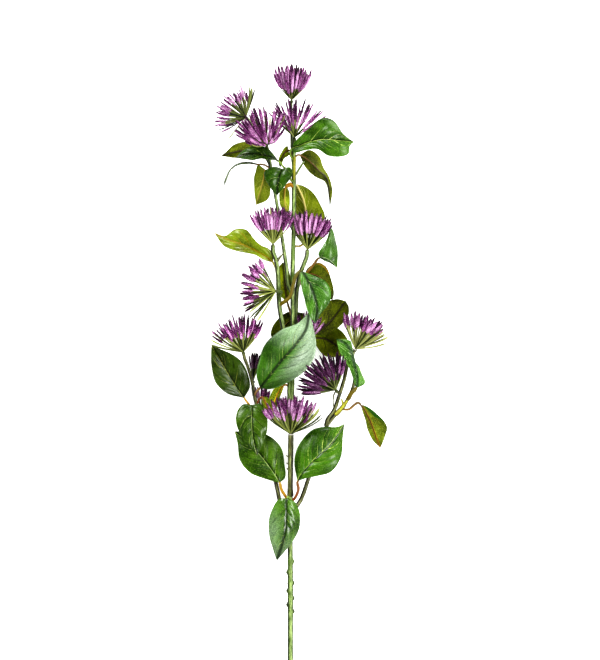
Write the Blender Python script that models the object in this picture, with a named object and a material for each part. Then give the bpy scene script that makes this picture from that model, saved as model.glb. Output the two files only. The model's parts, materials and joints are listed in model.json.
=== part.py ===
"""Centaurea spray lying on a table: a knobbly main stem, its branches and stalks, spiky blooms and leaves.

The spray is laid out as seen from above: x runs to the right and y along the main stem towards the
flowers, in millimetres from the middle of the leafy part. The third number of a place is its height
over the main stem's axis, which rises gently from the cut end that rests on the table.
"""

import math
import random

import bmesh
import bpy
from mathutils import Matrix, Vector
from mathutils.bvhtree import BVHTree

MM = 0.001
COLLECTION = "centaurea"

# The main stem lies on its cut end and rises along its length
STEM_RADIUS = 3.05
CUT_END = -433.0
RISE = 0.09

# Middle of the whole spray in the layout, which is put over the frame's origin
MIDDLE = (-0.2, -83.55)

# Clear space between neighbours that touch on the real plant
GAP = 0.3

# Line sampling, tube roundness, and the length of a tube's sections in radii
STEPS = 10
TUBE_ROUNDNESS = 2
TUBE_SECTION = 6.0

# Knots of the lower stem, as heights along it, and how far they stand out
KNOTS = (-283.0, -276.0, -269.5, -262.0, -254.2, -243.4, -232.5)
KNOT_SWELL = 0.65
KNOT_HALF = 2.6

# Leaf blade thickness, petiole radius and where the blade is cut into sections
BLADE = 0.8
PETIOLE = 1.1
BLADE_SHARES = (0.08, 0.24, 0.42, 0.60, 0.78, 0.92, 1.0)
PETIOLE_SHARES = (0.0, 0.34, 0.68, 1.0)
NARROWEST = 0.55

# Bloom parts: the green base and the clubbed spikes that stand out of it
NECK = 4.0
CORE_RADIUS = 2.3
CORE_HALF_LENGTH = 2.4
CORE_SIDES = 6
CORE_RINGS = 4
SPIKE_SIDES = 3
SPIKE_ROOT = 1.4
FILAMENT_RADIUS = 0.48
CLUB_RADIUS = 1.3
CLUB_END = 0.90
CLUB_END_RADIUS = 1.0
SPIKE_SHORTER = 0.12
SPIKE_CLEARANCE = 0.5
SPIKE_TEST_STEP = 1.2
SEED = 40
GOLDEN_ANGLE = math.pi * (3.0 - math.sqrt(5.0))

# Stems: what each grows from, the bloom on its end, its radius at both ends, and its way as far as the
# bloom's neck, first point on the parent's axis
STEMS = {
    "main_stem": dict(parent=None, bloom="bloom_04", radii=(STEM_RADIUS, 2.1), way=[
        (-9.7, CUT_END, 0), (-9.7, -300, 0), (-9.7, -170, 0), (-9, -110, 0), (-8, -55, 0), (-7, 0, 0),
        (-7.3, 58, 0), (-6.5, 95, 0), (-6.2, 130, 0), (-6.2, 165, 0)]),
    "left_branch": dict(parent="main_stem", bloom="bloom_08", radii=(2.2, 1.5), way=[
        (-9.7, -186, 0), (-19, -176, -2), (-24, -154, -3), (-34, -115, -3), (-44, -74, -3),
        (-48.5, -50, -2), (-53, -35, -1)]),
    "right_branch": dict(parent="main_stem", bloom="bloom_09", radii=(2.2, 1.5), way=[
        (-9.7, -182, 0), (-2, -175, -2), (9, -148, -4), (26, -98, -4), (36, -84.5, -3), (44, -75.5, -1.5),
        (51.4, -62, 0), (54.7, -49, 0), (55.3, -37, 0)]),
    "side_branch": dict(parent="right_branch", bloom=None, radii=(2.0, 1.8), way=[
        (30, -90, -4), (33.5, -81.5, -3), (39.3, -65.5, -2.5), (44.3, -49.6, -5), (47.3, -35.6, -9.5),
        (49.5, -24, -12)]),
    "bloom_stalk_01": dict(parent="main_stem", bloom="bloom_01", radii=(1.5, 1.3), way=[
        (-6.1, 170, 0), (-8, 178, -5.5), (-8.5, 205, -7.5)]),
    "bloom_stalk_02": dict(parent="bloom_stalk_03", bloom="bloom_02", radii=(1.3, 1.2), way=[
        (-30, 166, 5), (-37, 176, -4), (-44, 193, -19)]),
    "bloom_stalk_03": dict(parent="main_stem", bloom="bloom_03", radii=(2.0, 1.4), way=[
        (-7.2, 44, 0), (-13.5, 62, 1), (-18, 93, 2), (-23, 125, 3), (-26.5, 145, 4), (-29, 162, 5)]),
    "bloom_stalk_05": dict(parent="main_stem", bloom="bloom_05", radii=(2.5, 2.1), way=[
        (-7.4, -28, 0), (-13, -14, 2), (-17, 4, 3), (-20, 20, 4), (-21.5, 38, 5), (-22, 55, 6),
        (-24, 70, 6)]),
    "bloom_stalk_06": dict(parent="main_stem", bloom="bloom_06", radii=(2.3, 2.1), way=[
        (-7.1, 6, 0), (-4.4, 16, -6.3), (-3, 40, -7), (0.6, 57, -7), (4.3, 67, -5.3)]),
    "bloom_stalk_07": dict(parent="bloom_stalk_05", bloom="bloom_07", radii=(1.2, 1.1), way=[
        (-21.2, 34, 5), (-18.5, 37.5, 11)]),
    "bloom_stalk_10": dict(parent="side_branch", bloom="bloom_10", radii=(1.3, 1.2), way=[
        (39, -66.5, -2.5)]),
    "bloom_stalk_11": dict(parent="main_stem", bloom="bloom_11", radii=(2.6, 2.4), way=[
        (-9.7, -160, 0), (-9.8, -154, 8), (-9.7, -140, 11), (-9.5, -122, 13)]),
    "bloom_stalk_12": dict(parent="left_branch", bloom="bloom_12", radii=(1.2, 1.1), way=[
        (-44.5, -76, -3), (-46, -68, -9)]),
    "bloom_stalk_13": dict(parent="main_stem", bloom="bloom_13", radii=(1.2, 1.1), way=[
        (-7.6, -36, 0), (-2, -31, -3)]),
    "bloom_stalk_14": dict(parent="left_branch", bloom="bloom_14", radii=(1.2, 1.1), way=[
        (-36, -108, -3), (-38.5, -100, -10)]),
}

# Leaves: the stem each grows from, the petiole's way from its axis, the midrib, the two edges between
# base and tip as seen from above looking to the tip, and how far the edges stand over the midrib
LEAVES = {
    "leaf_01": dict(parent="main_stem", petiole=[(-6.2, 172, 0), (-9.8, 175, 3.5)],
                    rib=[(-8.5, 180.5, 5), (-1, 183.5, 6.5), (10, 187.5, 9), (24, 190, 12), (36, 189, 10),
                         (53.7, 187.5, 4)],
                    left=[(-6, 186), (1, 194), (13.3, 205), (23.3, 211), (33.3, 208.3), (43.3, 195)],
                    right=[(-5, 176.5), (3.3, 178.5), (16.7, 180), (28.3, 173.3), (41.7, 172.5), (48.3, 175.5),
                           (49.5, 183)],
                    lift=(3, 3)),
    "leaf_02": dict(parent="main_stem", petiole=[(-6.2, 158, 0), (-12, 159.5, 5), (-17, 163, 11)],
                    rib=[(-21, 168, 15), (-34, 173, 17), (-50, 175, 17), (-64, 171.5, 14)],
                    left=[(-31, 169.5), (-50, 169)],
                    right=[(-33, 181), (-47, 183), (-56, 179)],
                    lift=(7, -4)),
    "leaf_03": dict(parent="bloom_stalk_03", petiole=[(-31.5, 174, 7), (-35, 176.5, 3)],
                    rib=[(-39, 179, 0), (-58, 179, -3), (-79, 174, -8)],
                    left=[(-50, 173), (-58, 171.5), (-67, 172)],
                    right=[(-47, 185), (-55, 188), (-66, 185), (-75, 177)],
                    lift=(-3, -3)),
    "leaf_04": dict(parent="bloom_stalk_03", petiole=[(-29, 161, 5), (-33, 163.5, 0)],
                    rib=[(-41, 166, -12), (-60, 167.5, -20), (-70, 161, -25), (-77, 142, -30)],
                    left=[(-50, 166.5), (-67, 162), (-74, 150)],
                    right=[(-50, 168), (-67, 164), (-75.5, 151)],
                    lift=(6, -6)),
    "leaf_05": dict(parent="bloom_stalk_03", petiole=[(-27, 149, 4), (-30.5, 153.5, -2)],
                    rib=[(-34.5, 160, -8), (-37, 149, -10), (-44, 125, -14)],
                    left=[(-31.4, 158), (-29.5, 143), (-32, 131)],
                    right=[(-42, 165), (-45, 157), (-46, 142)],
                    lift=(-2, -2)),
    "leaf_06": dict(parent="main_stem", petiole=[(-6.2, 150, 0), (-11, 154.5, 3), (-15.5, 158.5, 7)],
                    rib=[(-17, 160, 12), (-21, 151, 14), (-23, 134, 10)],
                    left=[(-10.5, 162), (-7.5, 156), (-14, 145)],
                    right=[(-26, 162.5), (-35.5, 157), (-31, 144)],
                    lift=(2, 2)),
    "leaf_07": dict(parent="main_stem", petiole=[(-6.2, 176, 0), (-9.8, 178.5, -1)],
                    rib=[(-11.5, 179.5, -2), (-15, 177.5, -2), (-18.8, 171, -1), (-20, 161, 2)],
                    left=[(-11, 174.5), (-15, 172), (-18, 166.5)],
                    right=[(-12.5, 183.5), (-17.5, 179), (-21.3, 169.5)],
                    lift=(1, 1)),
    "leaf_08": dict(parent="main_stem", petiole=[(-6.2, 173, 0), (-2.8, 174.5, -5)],
                    rib=[(-0.5, 175, -7), (10, 168.3, -11), (18.3, 160, -20), (26.7, 152.5, -33),
                         (30.3, 124.2, -52.7)],
                    left=[(10, 180), (18.3, 175), (23.3, 165), (27, 157), (32.5, 141.7)],
                    right=[(5, 163.3), (13.3, 155), (25, 149.2), (29.2, 133.3)],
                    lift=(-3, -3)),
    "leaf_09": dict(parent="main_stem", petiole=[(-6.6, 84, 0), (0, 84, -8)],
                    rib=[(10, 94, -15), (6, 118, -20), (3, 132, -21), (-3.5, 146, -18)],
                    left=[(2, 100), (-5, 116), (-6, 134)],
                    right=[(22, 104), (25, 114), (22, 123), (12.6, 138), (4, 144)],
                    lift=(-3, -3)),
    "leaf_10": dict(parent="main_stem", petiole=[(-6.2, 146, 0), (-10.4, 145, 0)],
                    rib=[(-13.5, 143, 0), (-15.5, 132, 2), (-12, 114, 1)],
                    left=[(-11, 138), (-10.4, 125)],
                    right=[(-19, 140), (-21, 132), (-18, 121)],
                    lift=(1, -2)),
    "leaf_11": dict(parent="bloom_stalk_05", petiole=[(-22.6, 58, 6), (-24.6, 63, 1.5)],
                    rib=[(-27, 67.5, 0.5), (-32, 72.5, 1.5), (-40, 77.5, 2.5), (-55, 85, 1.5), (-72, 91, -2),
                         (-86, 97.5, -7)],
                    left=[(-36, 70), (-44, 74.7), (-56, 77), (-65.5, 79.5), (-75.6, 83.7)],
                    right=[(-27, 75), (-31, 81), (-39, 85), (-47, 92), (-53, 99.5), (-58.5, 101.3),
                           (-65.5, 100.3), (-75, 94)],
                    lift=(3, 3)),
    "leaf_12": dict(parent="bloom_stalk_06", petiole=[(-1, 51, -6), (7, 57, -4), (14, 66, -2)],
                    rib=[(19.5, 72.3, 0), (26, 71.5, 3), (32, 67.5, 2), (37.4, 61.5, -2)],
                    left=[(18.5, 76.5), (22, 82.5), (26, 89), (31.3, 101.7), (35.3, 91), (37.5, 76)],
                    right=[(24, 69.3), (30, 67), (34.5, 64)],
                    lift=(-2, -1)),
    "leaf_13": dict(parent="bloom_stalk_06", petiole=[(-2.4, 44, -6), (1, 50, -11)],
                    rib=[(5, 56, -14), (18, 54, -15), (27, 45, -17), (32.5, 30, -20)],
                    left=[(7, 61), (19, 67.5), (25.5, 64), (32.5, 46), (34, 37)],
                    right=[(10, 46), (19, 39), (28, 33)],
                    lift=(-2, -2)),
    "leaf_14": dict(parent="bloom_stalk_05", petiole=[(-20.8, 27, 4), (-15, 28.5, 7.5), (-9.6, 34, 9),
                                                      (-7, 44, 10), (-4, 54, 10)],
                    rib=[(0.5, 59, 11), (9, 47, 15), (15, 32, 18), (17, 20, 19), (15.4, 6, 19)],
                    left=[(13.9, 54.3), (26.3, 47.6), (30.7, 38), (29.4, 27.4), (20, 15)],
                    right=[(0.8, 46), (4.5, 30.5), (9.2, 15)],
                    lift=(-3, 2)),
    "leaf_15": dict(parent="left_branch", petiole=[(-46, -64, -2.6), (-43, -61, 3)],
                    rib=[(-40, -58, 8), (-19, -31, 14), (-4, -14, 15.5), (6, 1, 11), (9, 18, 5)],
                    left=[(-43.5, -44), (-40, -28), (-34, -13), (-19, 0), (-2, 7)],
                    right=[(-29.5, -59), (-14, -53.5), (3, -42), (12.6, -31), (16, -15), (14, 0)],
                    lift=(3, -7)),
    "leaf_16": dict(parent="left_branch", petiole=[(-42.6, -80, -3), (-48, -78, 2)],
                    rib=[(-56, -68, 4), (-68, -50, 6), (-78, -33, 6), (-88.6, -15, 2)],
                    left=[(-73, -63.5), (-84, -53), (-88.3, -38), (-89, -25)],
                    right=[(-50, -56), (-53, -42), (-59, -31), (-70, -23), (-82, -18)],
                    lift=(3, 4)),
    "leaf_17": dict(parent="left_branch", petiole=[(-41.5, -84, -3), (-43.4, -80.5, 4)],
                    rib=[(-47, -75, 9), (-48, -90, 14), (-47, -107, 16), (-43, -125.4, 15)],
                    left=[(-40, -74), (-34, -82), (-32.5, -97), (-35.5, -110)],
                    right=[(-57, -74.5), (-62.5, -81), (-64, -91), (-59, -106)],
                    lift=(-2, -3)),
    "leaf_18": dict(parent="main_stem", petiole=[(-9.7, -171, 0), (-15, -166, 4), (-18.6, -160, 6.5)],
                    rib=[(-20.4, -153, 8), (-32, -135, 7), (-47, -117, 6), (-65.3, -101.6, 2)],
                    left=[(-35, -149), (-50, -143), (-60, -131), (-62.5, -114)],
                    right=[(-15, -148), (-15.5, -135), (-19, -118), (-32, -105.6), (-50, -102)],
                    lift=(-1, -3)),
    "leaf_19": dict(parent="main_stem", petiole=[(-9.7, -173, 0), (-4.4, -167.5, 3.5), (-1.6, -159.5, 5)],
                    rib=[(-2.5, -151.5, 6), (11, -133, 8), (20, -124, 9), (29, -116, 8), (44.4, -94, 3)],
                    left=[(-5.6, -131), (-1, -115), (13, -100), (25, -97), (38, -97)],
                    right=[(4, -149), (18, -146), (31, -142), (41, -127), (43, -106)],
                    lift=(-6, 0)),
    "leaf_20": dict(parent="main_stem", petiole=[(-9.7, -179, 0), (-10.3, -173, 5.5), (-12, -167, 9.5)],
                    rib=[(-13, -168.5, 11.5), (-13.8, -188, 12.5), (-15, -203, 12), (-23.2, -231.5, 7)],
                    left=[(-5.5, -172), (-0.5, -182), (0.4, -190), (-2.5, -204), (-12.5, -218.5)],
                    right=[(-21, -169.5), (-28, -180), (-31.5, -192.5), (-30, -210), (-26.5, -222.5)],
                    lift=(-4, -4)),
    "leaf_21": dict(parent="right_branch", petiole=[(48.8, -67.5, -0.7), (51.5, -63, 3.6)],
                    rib=[(56, -58.5, 4.2), (57.3, -47, 4.6), (54.9, -36, 5), (51.5, -23, 5), (46.5, -14.5, 4),
                         (36.3, -8.7, 2)],
                    left=[(53.2, -49), (49.3, -38.3), (44.3, -29.8), (39.3, -20.4)],
                    right=[(65, -53), (62, -44), (58.8, -36), (55.9, -33), (53.6, -25), (52.1, -16),
                           (50.6, -11.3)],
                    lift=(-1, -2)),
    "leaf_22": dict(parent="right_branch", petiole=[(41.5, -78.5, -2), (48.8, -79.6, -5.5), (55, -74.8, -9),
                                                    (58.2, -73, -11)],
                    rib=[(61, -75, -12.5), (67, -84, -15), (72, -95, -19), (77, -109, -25), (81, -119, -30.9)],
                    left=[(67, -77), (79, -86), (87.5, -97), (85, -109)],
                    right=[(63, -82), (66, -91), (68, -100), (74, -112)],
                    lift=(3, 1)),
    "leaf_23": dict(parent="main_stem", petiole=[(-7.2, -16, 0), (0, -12, -8)],
                    rib=[(13, -4, -15), (29, 7, -20), (46, 29, -25)],
                    left=[(14, 12), (24, 26), (36, 31)],
                    right=[(26, -5), (39, 3), (48, 14), (49, 23)],
                    lift=(-2, -2)),
    "leaf_24": dict(parent="main_stem", petiole=[(-7.3, -24, 0), (0, -20, -13)],
                    rib=[(13, -9, -22), (25, -9, -27), (36, -15, -29), (50, -24, -29)],
                    left=[(22, 2), (37, 2), (48, -10)],
                    right=[(17, -17), (25, -26), (40, -27)],
                    lift=(-2, -2)),
    "leaf_25": dict(parent="main_stem", petiole=[(-7.1, 16, 0), (-10, 19, -6)],
                    rib=[(-12.5, 27, -9), (-15.5, 48, -11), (-17, 68, -13)],
                    left=[(-22, 38), (-23, 54), (-21, 63)],
                    right=[(-9, 36), (-9, 50), (-12.5, 62)],
                    lift=(-1, -1)),
    "leaf_26": dict(parent="main_stem", petiole=[(-7.4, -20, 0), (-12, -20, -5.5)],
                    rib=[(-21, -13.5, -10.5), (-17, 3, -11), (3, 17, -10)],
                    left=[(-29, -6), (-26, 6), (-12, 18)],
                    right=[(-14, -10), (-5, 0), (3, 9)],
                    lift=(-2, -2)),
    "leaf_27": dict(parent="main_stem", petiole=[(-8, -58, 0), (-12, -56, 1)],
                    rib=[(-15.5, -55, 0), (-22, -64, -1), (-26.5, -76, -3), (-28.5, -87, -5)],
                    left=[(-19, -65), (-22, -73), (-25, -82)],
                    right=[(-25, -58), (-30, -66), (-32, -79)],
                    lift=(-3, 2)),
    "leaf_28": dict(parent="left_branch", petiole=[(-43.8, -72, -3), (-40.5, -69, 0)],
                    rib=[(-37.5, -67, 4), (-34.5, -73, 6), (-31, -81, 6)],
                    left=[(-33, -67), (-30, -74)],
                    right=[(-38, -72), (-35, -79)],
                    lift=(1, 1)),
}

# Blooms: base on the stalk, compass direction from +y towards +x and tilt up from the table in degrees,
# half-angle of the fan, how far the outermost spikes bow out, length from the base to the tips, share of
# it where the clubs begin, and number of spikes
BLOOMS = {
    "bloom_01": dict(base=(-8.5, 227.2, -8), heading=2, tilt=18, fan=36, bow=5, length=40.5, club=0.38,
                     spikes=22),
    "bloom_02": dict(base=(-53, 212, -31.36), heading=-57, tilt=-18, fan=58, bow=3, length=35, club=0.58,
                     spikes=26),
    "bloom_03": dict(base=(-32.9, 182.4, 9), heading=-18, tilt=42, fan=48, bow=4, length=43, club=0.36,
                     spikes=28),
    "bloom_04": dict(base=(-5.9, 190, 0.5), heading=4, tilt=22, fan=54, bow=1, length=44, club=0.46, spikes=24),
    "bloom_05": dict(base=(-27, 83.4, 6), heading=1, tilt=2, fan=38, bow=5, length=41.5, club=0.46, spikes=26),
    "bloom_06": dict(base=(7.2, 78.2, -3.5), heading=5, tilt=0, fan=42, bow=5, length=42.5, club=0.48, spikes=26),
    "bloom_07": dict(base=(-22, 38.6, 12.5), heading=-84, tilt=-8, fan=60, bow=1, length=42, club=0.66,
                     spikes=24),
    "bloom_08": dict(base=(-56.4, -24.3, 0.5), heading=-12, tilt=3, fan=52, bow=3, length=42, club=0.58,
                     spikes=27),
    "bloom_09": dict(base=(54.6, -21.2, 0), heading=24, tilt=-4, fan=47, bow=2, length=42, club=0.64, spikes=26),
    "bloom_10": dict(base=(37.2, -61.8, 3.5), heading=-40, tilt=6, fan=60, bow=2, length=43.5, club=0.44,
                     spikes=27),
    "bloom_11": dict(base=(-9.4, -106.2, 16), heading=1, tilt=2, fan=54, bow=5, length=43.5, club=0.58,
                     spikes=28),
    "bloom_12": dict(base=(-47.3, -53, -16), heading=6, tilt=4, fan=16, bow=1, length=31, club=0.50, spikes=8),
    "bloom_13": dict(base=(3.6, -16, -5), heading=10, tilt=-4, fan=42, bow=2, length=36, club=0.50, spikes=12),
    "bloom_14": dict(base=(-38.3, -85, -16), heading=12, tilt=2, fan=32, bow=2, length=30, club=0.50, spikes=9),
}

# Colours as the plant's parts look, with roughness
COLOURS = {
    "stem": ((0.235, 0.300, 0.075), 0.50),
    "leaf": ((0.045, 0.160, 0.035), 0.35),
    "bloom": ((0.225, 0.040, 0.260), 0.65),
}


def place(point):
    """Turns a laid-out place in millimetres into one over the table."""
    x, y, height = point
    return Vector((x - MIDDLE[0], y - MIDDLE[1], STEM_RADIUS + RISE * (y - CUT_END) + height))


def smooth(points):
    """Rounds a row of points into a dense line through all of them."""
    points = [Vector(point) for point in points]
    ends = [2 * points[0] - points[1]] + points + [2 * points[-1] - points[-2]]
    line = []
    for before, start, end, after in zip(ends, ends[1:], ends[2:], ends[3:]):
        span = (end - start).length
        ahead = (end - start).normalized()
        leave = (ahead + (start - before).normalized()) * span / 2
        arrive = (ahead + (after - end).normalized()) * span / 2
        for step in range(STEPS):
            t = step / STEPS
            line.append((2 * t ** 3 - 3 * t ** 2 + 1) * start + (t ** 3 - 2 * t ** 2 + t) * leave
                        + (3 * t ** 2 - 2 * t ** 3) * end + (t ** 3 - t ** 2) * arrive)
    line.append(points[-1])
    return line


def length_of(line):
    return sum((end - start).length for start, end in zip(line, line[1:]))


def at(line, share):
    """Gives the point that lies at a share of the line's length."""
    left = share * length_of(line)
    for start, end in zip(line, line[1:]):
        span = (end - start).length
        if left <= span:
            return start.lerp(end, left / span)
        left -= span
    return line[-1].copy()


def heading_at(line, share):
    """Gives the unit direction of the line at a share of its length."""
    return (at(line, min(1.0, share + 0.02)) - at(line, max(0.0, share - 0.02))).normalized()


def nearest_on(line, point):
    """Gives the share of the line's length that lies nearest to a point."""
    count = len(line) * 4
    return min((step / count for step in range(count + 1)), key=lambda share: (at(line, share) - point).length)


def radius_at(stem, share):
    first, last = stem["radii"]
    return first + (last - first) * share


def grow_from(parent, axis_point, next_point, radius):
    """Starts a stalk square to its parent's surface, and returns its start and the knee where it turns."""
    share = nearest_on(parent["line"], axis_point)
    root = at(parent["line"], share)
    along = heading_at(parent["line"], share)
    outward = next_point - root
    outward = (outward - outward.dot(along) * along).normalized()
    start = root + outward * (radius_at(parent, share) + GAP)
    return start, start + outward * radius


def stem_line(stem):
    """Works out the points of a stem's tube, from its parent's surface to the base of its bloom."""
    way = [place(point) for point in stem["way"]]
    if stem["bloom"]:
        bloom = BLOOMS[stem["bloom"]]
        way += [place(bloom["base"]) - bloom_axis(bloom) * step for step in (GAP + NECK, GAP)]
    radius = stem["radii"][0]
    root = []
    if stem["parent"]:
        start, way[0] = grow_from(STEMS[stem["parent"]], way[0], way[1], radius)
        root = [start]
    fine = smooth(way)[:-STEPS]
    count = max(2, round(length_of(fine) / (TUBE_SECTION * radius)))
    return root + [at(fine, step / count) for step in range(count + 1)] + [way[-1]]


def tube_sections(name, stem):
    """Lists a tube's sections by place and swell, closer round the knots of the main stem."""
    line = stem["line"]
    total = length_of(line)
    lengths = [length_of(line[:count + 1]) for count in range(len(line))]
    sections = [(length / total, 0.0) for length in lengths]
    if name == "main_stem":
        along = [(knot - CUT_END) * math.hypot(1.0, RISE) for knot in KNOTS]
        low, high = min(along) - 2 * KNOT_HALF, max(along) + 2 * KNOT_HALF
        sections = [section for section in sections if not low < section[0] * total < high]
        for middle in along:
            sections.append(((middle - KNOT_HALF) / total, 0.0))
            sections.append((middle / total, KNOT_SWELL))
        sections.append(((max(along) + KNOT_HALF) / total, 0.0))
    return sorted(sections)


def material_for(name, kind):
    """Makes the plain material of one piece."""
    colour, roughness = COLOURS[kind]
    material = bpy.data.materials.new(name + "_material")
    material.use_nodes = True
    shader = material.node_tree.nodes["Principled BSDF"]
    shader.inputs["Base Color"].default_value = (*colour, 1.0)
    shader.inputs["Roughness"].default_value = roughness
    shader.inputs["Metallic"].default_value = 0.0
    return material


def keep(name, data, kind, collection):
    """Puts finished geometry into the collection as a named piece."""
    piece = bpy.data.objects.new(name, data)
    data.materials.append(material_for(name, kind))
    collection.objects.link(piece)
    return piece


def make_stem(name, stem, collection):
    """Builds one stem as a tube with flat ends."""
    curve = bpy.data.curves.new(name, "CURVE")
    curve.dimensions = "3D"
    curve.bevel_depth = MM
    curve.bevel_resolution = TUBE_ROUNDNESS
    curve.use_fill_caps = True
    sections = tube_sections(name, stem)
    spline = curve.splines.new("POLY")
    spline.points.add(len(sections) - 1)
    for point, (share, swell) in zip(spline.points, sections):
        point.co = (*(at(stem["line"], share) * MM), 1.0)
        point.radius = radius_at(stem, share) + swell
    return keep(name, curve, "stem", collection)


def loft(rings):
    """Skins rings of points into one closed body, with thin sheets split alike on both faces."""
    form = bmesh.new()
    rows = [[form.verts.new(point * MM) for point in ring] for ring in rings]
    sides = len(rows[0])
    tip = rows.pop() if len(rows[-1]) == 1 else None
    for row, next_row in zip(rows, rows[1:]):
        for side in range(sides):
            other = (side + 1) % sides
            a, b, c, d = row[side], row[other], next_row[other], next_row[side]
            if side < sides / 2:
                form.faces.new((a, b, c))
                form.faces.new((a, c, d))
            else:
                form.faces.new((a, b, d))
                form.faces.new((b, c, d))
    for row in (rows[0], rows[-1]):
        if tip and row is rows[-1]:
            for side in range(sides):
                form.faces.new((row[side], row[(side + 1) % sides], tip[0]))
        elif sides == 6:
            form.faces.new((row[0], row[1], row[4], row[5]))
            form.faces.new((row[1], row[2], row[3], row[4]))
        else:
            form.faces.new(row)
    bmesh.ops.triangulate(form, faces=[face for face in form.faces if len(face.verts) > 3])
    bmesh.ops.recalc_face_normals(form, faces=form.faces)
    mesh = bpy.data.meshes.new("loft")
    form.to_mesh(mesh)
    form.free()
    return mesh


def edge_line(leaf, side, rib):
    """Gives one edge of a blade as a dense line from base to tip, lifted over the midrib."""
    flat = smooth([place((x, y, 0)) for x, y in (leaf["rib"][0][:2], *leaf[side], leaf["rib"][-1][:2])])
    lift = leaf["lift"][0 if side == "left" else 1]
    line = []
    for step, point in enumerate(flat):
        share = step / (len(flat) - 1)
        middle = at(rib, share)
        rise = RISE * (point.y - middle.y) + lift * math.sin(math.pi * share)
        line.append(Vector((point.x, point.y, middle.z + rise)))
    return line


def leaf_lines(leaf):
    """Gives the smooth ways of a leaf's stalk, from the stem's surface, and of its midrib."""
    way = [place(point) for point in leaf["petiole"]]
    way[:1] = grow_from(STEMS[leaf["parent"]], way[0], way[1], PETIOLE)
    line = smooth(way + [place(point) for point in leaf["rib"]])
    base = STEPS * len(way)
    return line[:base + 1], line[base:]


def blade_rings(leaf, rib):
    """Sections a blade from base to tip: left edge, midrib and right edge, above and below."""
    left = edge_line(leaf, "left", rib)
    right = edge_line(leaf, "right", rib)
    rings = []
    for share in BLADE_SHARES:
        middle = at(rib, share)
        one, other = at(left, share), at(right, share)
        if share < 1.0:
            across = (other - one).normalized()
        else:
            one, other = middle - across * NARROWEST, middle + across * NARROWEST
        up = across.cross(heading_at(rib, share)).normalized()
        fill = max(0.0, 1.0 - share / BLADE_SHARES[2])
        thick = up * BLADE / 2
        spine = up * (BLADE / 2 + fill * (PETIOLE - BLADE / 2))
        rings.append([one + thick, middle + spine, other + thick,
                      other - thick, middle - spine, one - thick])
    return rings


def petiole_rings(line, across, along):
    """Sections a leaf's stalk back from the blade's base to the stem's surface, turning with its way."""
    rings = []
    for share in reversed(PETIOLE_SHARES):
        ahead = heading_at(line, share)
        across = along.rotation_difference(ahead) @ across
        along = ahead
        up = across.cross(along)
        middle = at(line, share)
        ring = []
        for angle in (150, 90, 30, -30, -90, -150):
            turn = math.radians(angle)
            ring.append(middle + PETIOLE * (math.cos(turn) * across + math.sin(turn) * up))
        rings.append(ring)
    return rings[::-1]


def make_leaf(name, leaf, collection):
    """Builds one leaf, stalk and blade in one body."""
    petiole, rib = leaf_lines(leaf)
    blade = blade_rings(leaf, rib)
    along = heading_at(rib, BLADE_SHARES[0])
    across = blade[0][2] - blade[0][0]
    across = (across - across.dot(along) * along).normalized()
    mesh = loft(petiole_rings(petiole, across, along) + blade)
    return keep(name, mesh, "leaf", collection)


def bloom_axis(bloom):
    heading, tilt = math.radians(bloom["heading"]), math.radians(bloom["tilt"])
    return Vector((math.sin(heading) * math.cos(tilt), math.cos(heading) * math.cos(tilt), math.sin(tilt)))


def spike_directions(bloom, draw):
    """Spreads the spikes evenly over the fan, with a little disorder."""
    axis = bloom_axis(bloom)
    turn = axis.to_track_quat("Z", "Y")
    widest = 1.0 - math.cos(math.radians(bloom["fan"]))
    for number in range(bloom["spikes"]):
        cosine = 1.0 - widest * (number + 0.5) / bloom["spikes"]
        angle = number * GOLDEN_ANGLE + draw.uniform(-0.12, 0.12)
        sine = math.sqrt(1.0 - cosine * cosine)
        yield turn @ Vector((sine * math.cos(angle), sine * math.sin(angle), cosine))


def clear_ways(direction, axis):
    """Offers a direction and then others near it, nearest first, leaning more to the bloom's axis."""
    yield direction
    hinge = direction.cross(axis)
    if hinge.length < 0.05:
        hinge = axis.orthogonal()
    for lean in range(6, 61, 6):
        for twist in (0, 15, -15, 30, -30):
            turned = Matrix.Rotation(math.radians(lean), 3, hinge) @ direction
            yield Matrix.Rotation(math.radians(twist), 3, axis) @ turned


def spike_point(start, direction, length, bloom, share):
    """Gives a place along a spike, which bows away from its bloom's axis."""
    axis = bloom_axis(bloom)
    outward = direction - direction.dot(axis) * axis
    return start + direction * length * share + outward * bloom["bow"] * math.sin(math.pi * share)


def is_clear(start, direction, length, bloom, obstacles):
    """Tells whether a spike stays off every piece that is already there."""
    steps = math.ceil(length / SPIKE_TEST_STEP)
    for step in range(2, steps + 1):
        share = step / steps
        radius = CLUB_RADIUS if share > bloom["club"] * 0.8 else FILAMENT_RADIUS * 2
        reach = (radius + SPIKE_CLEARANCE) * MM
        point = spike_point(start, direction, length, bloom, share) * MM
        if any(tree.find_nearest(point, reach)[0] is not None for tree in obstacles):
            return False
    return True


def spike_mesh(root, direction, length, bloom):
    """Builds one spike: a thin filament that swells into a long club with a pointed end."""
    side = direction.orthogonal().normalized()
    rings = []
    for share, radius in ((0.0, FILAMENT_RADIUS), (bloom["club"], CLUB_RADIUS), (CLUB_END, CLUB_END_RADIUS)):
        middle = spike_point(root, direction, length, bloom, share)
        ring = []
        for corner in range(SPIKE_SIDES):
            turn = Matrix.Rotation(2 * math.pi * corner / SPIKE_SIDES, 3, direction)
            ring.append(middle + turn @ side * radius)
        rings.append(ring)
    return loft(rings + [[root + direction * length]])


def core_mesh(centre, axis):
    """Builds the green base that carries a bloom's spikes."""
    form = bmesh.new()
    size = Matrix.Diagonal((CORE_RADIUS * MM, CORE_RADIUS * MM, CORE_HALF_LENGTH * MM, 1.0))
    turn = axis.to_track_quat("Z", "Y").to_matrix().to_4x4()
    bmesh.ops.create_uvsphere(form, u_segments=CORE_SIDES, v_segments=CORE_RINGS, radius=1.0,
                              matrix=Matrix.Translation(centre * MM) @ turn @ size)
    mesh = bpy.data.meshes.new("core")
    form.to_mesh(mesh)
    form.free()
    return mesh


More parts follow.
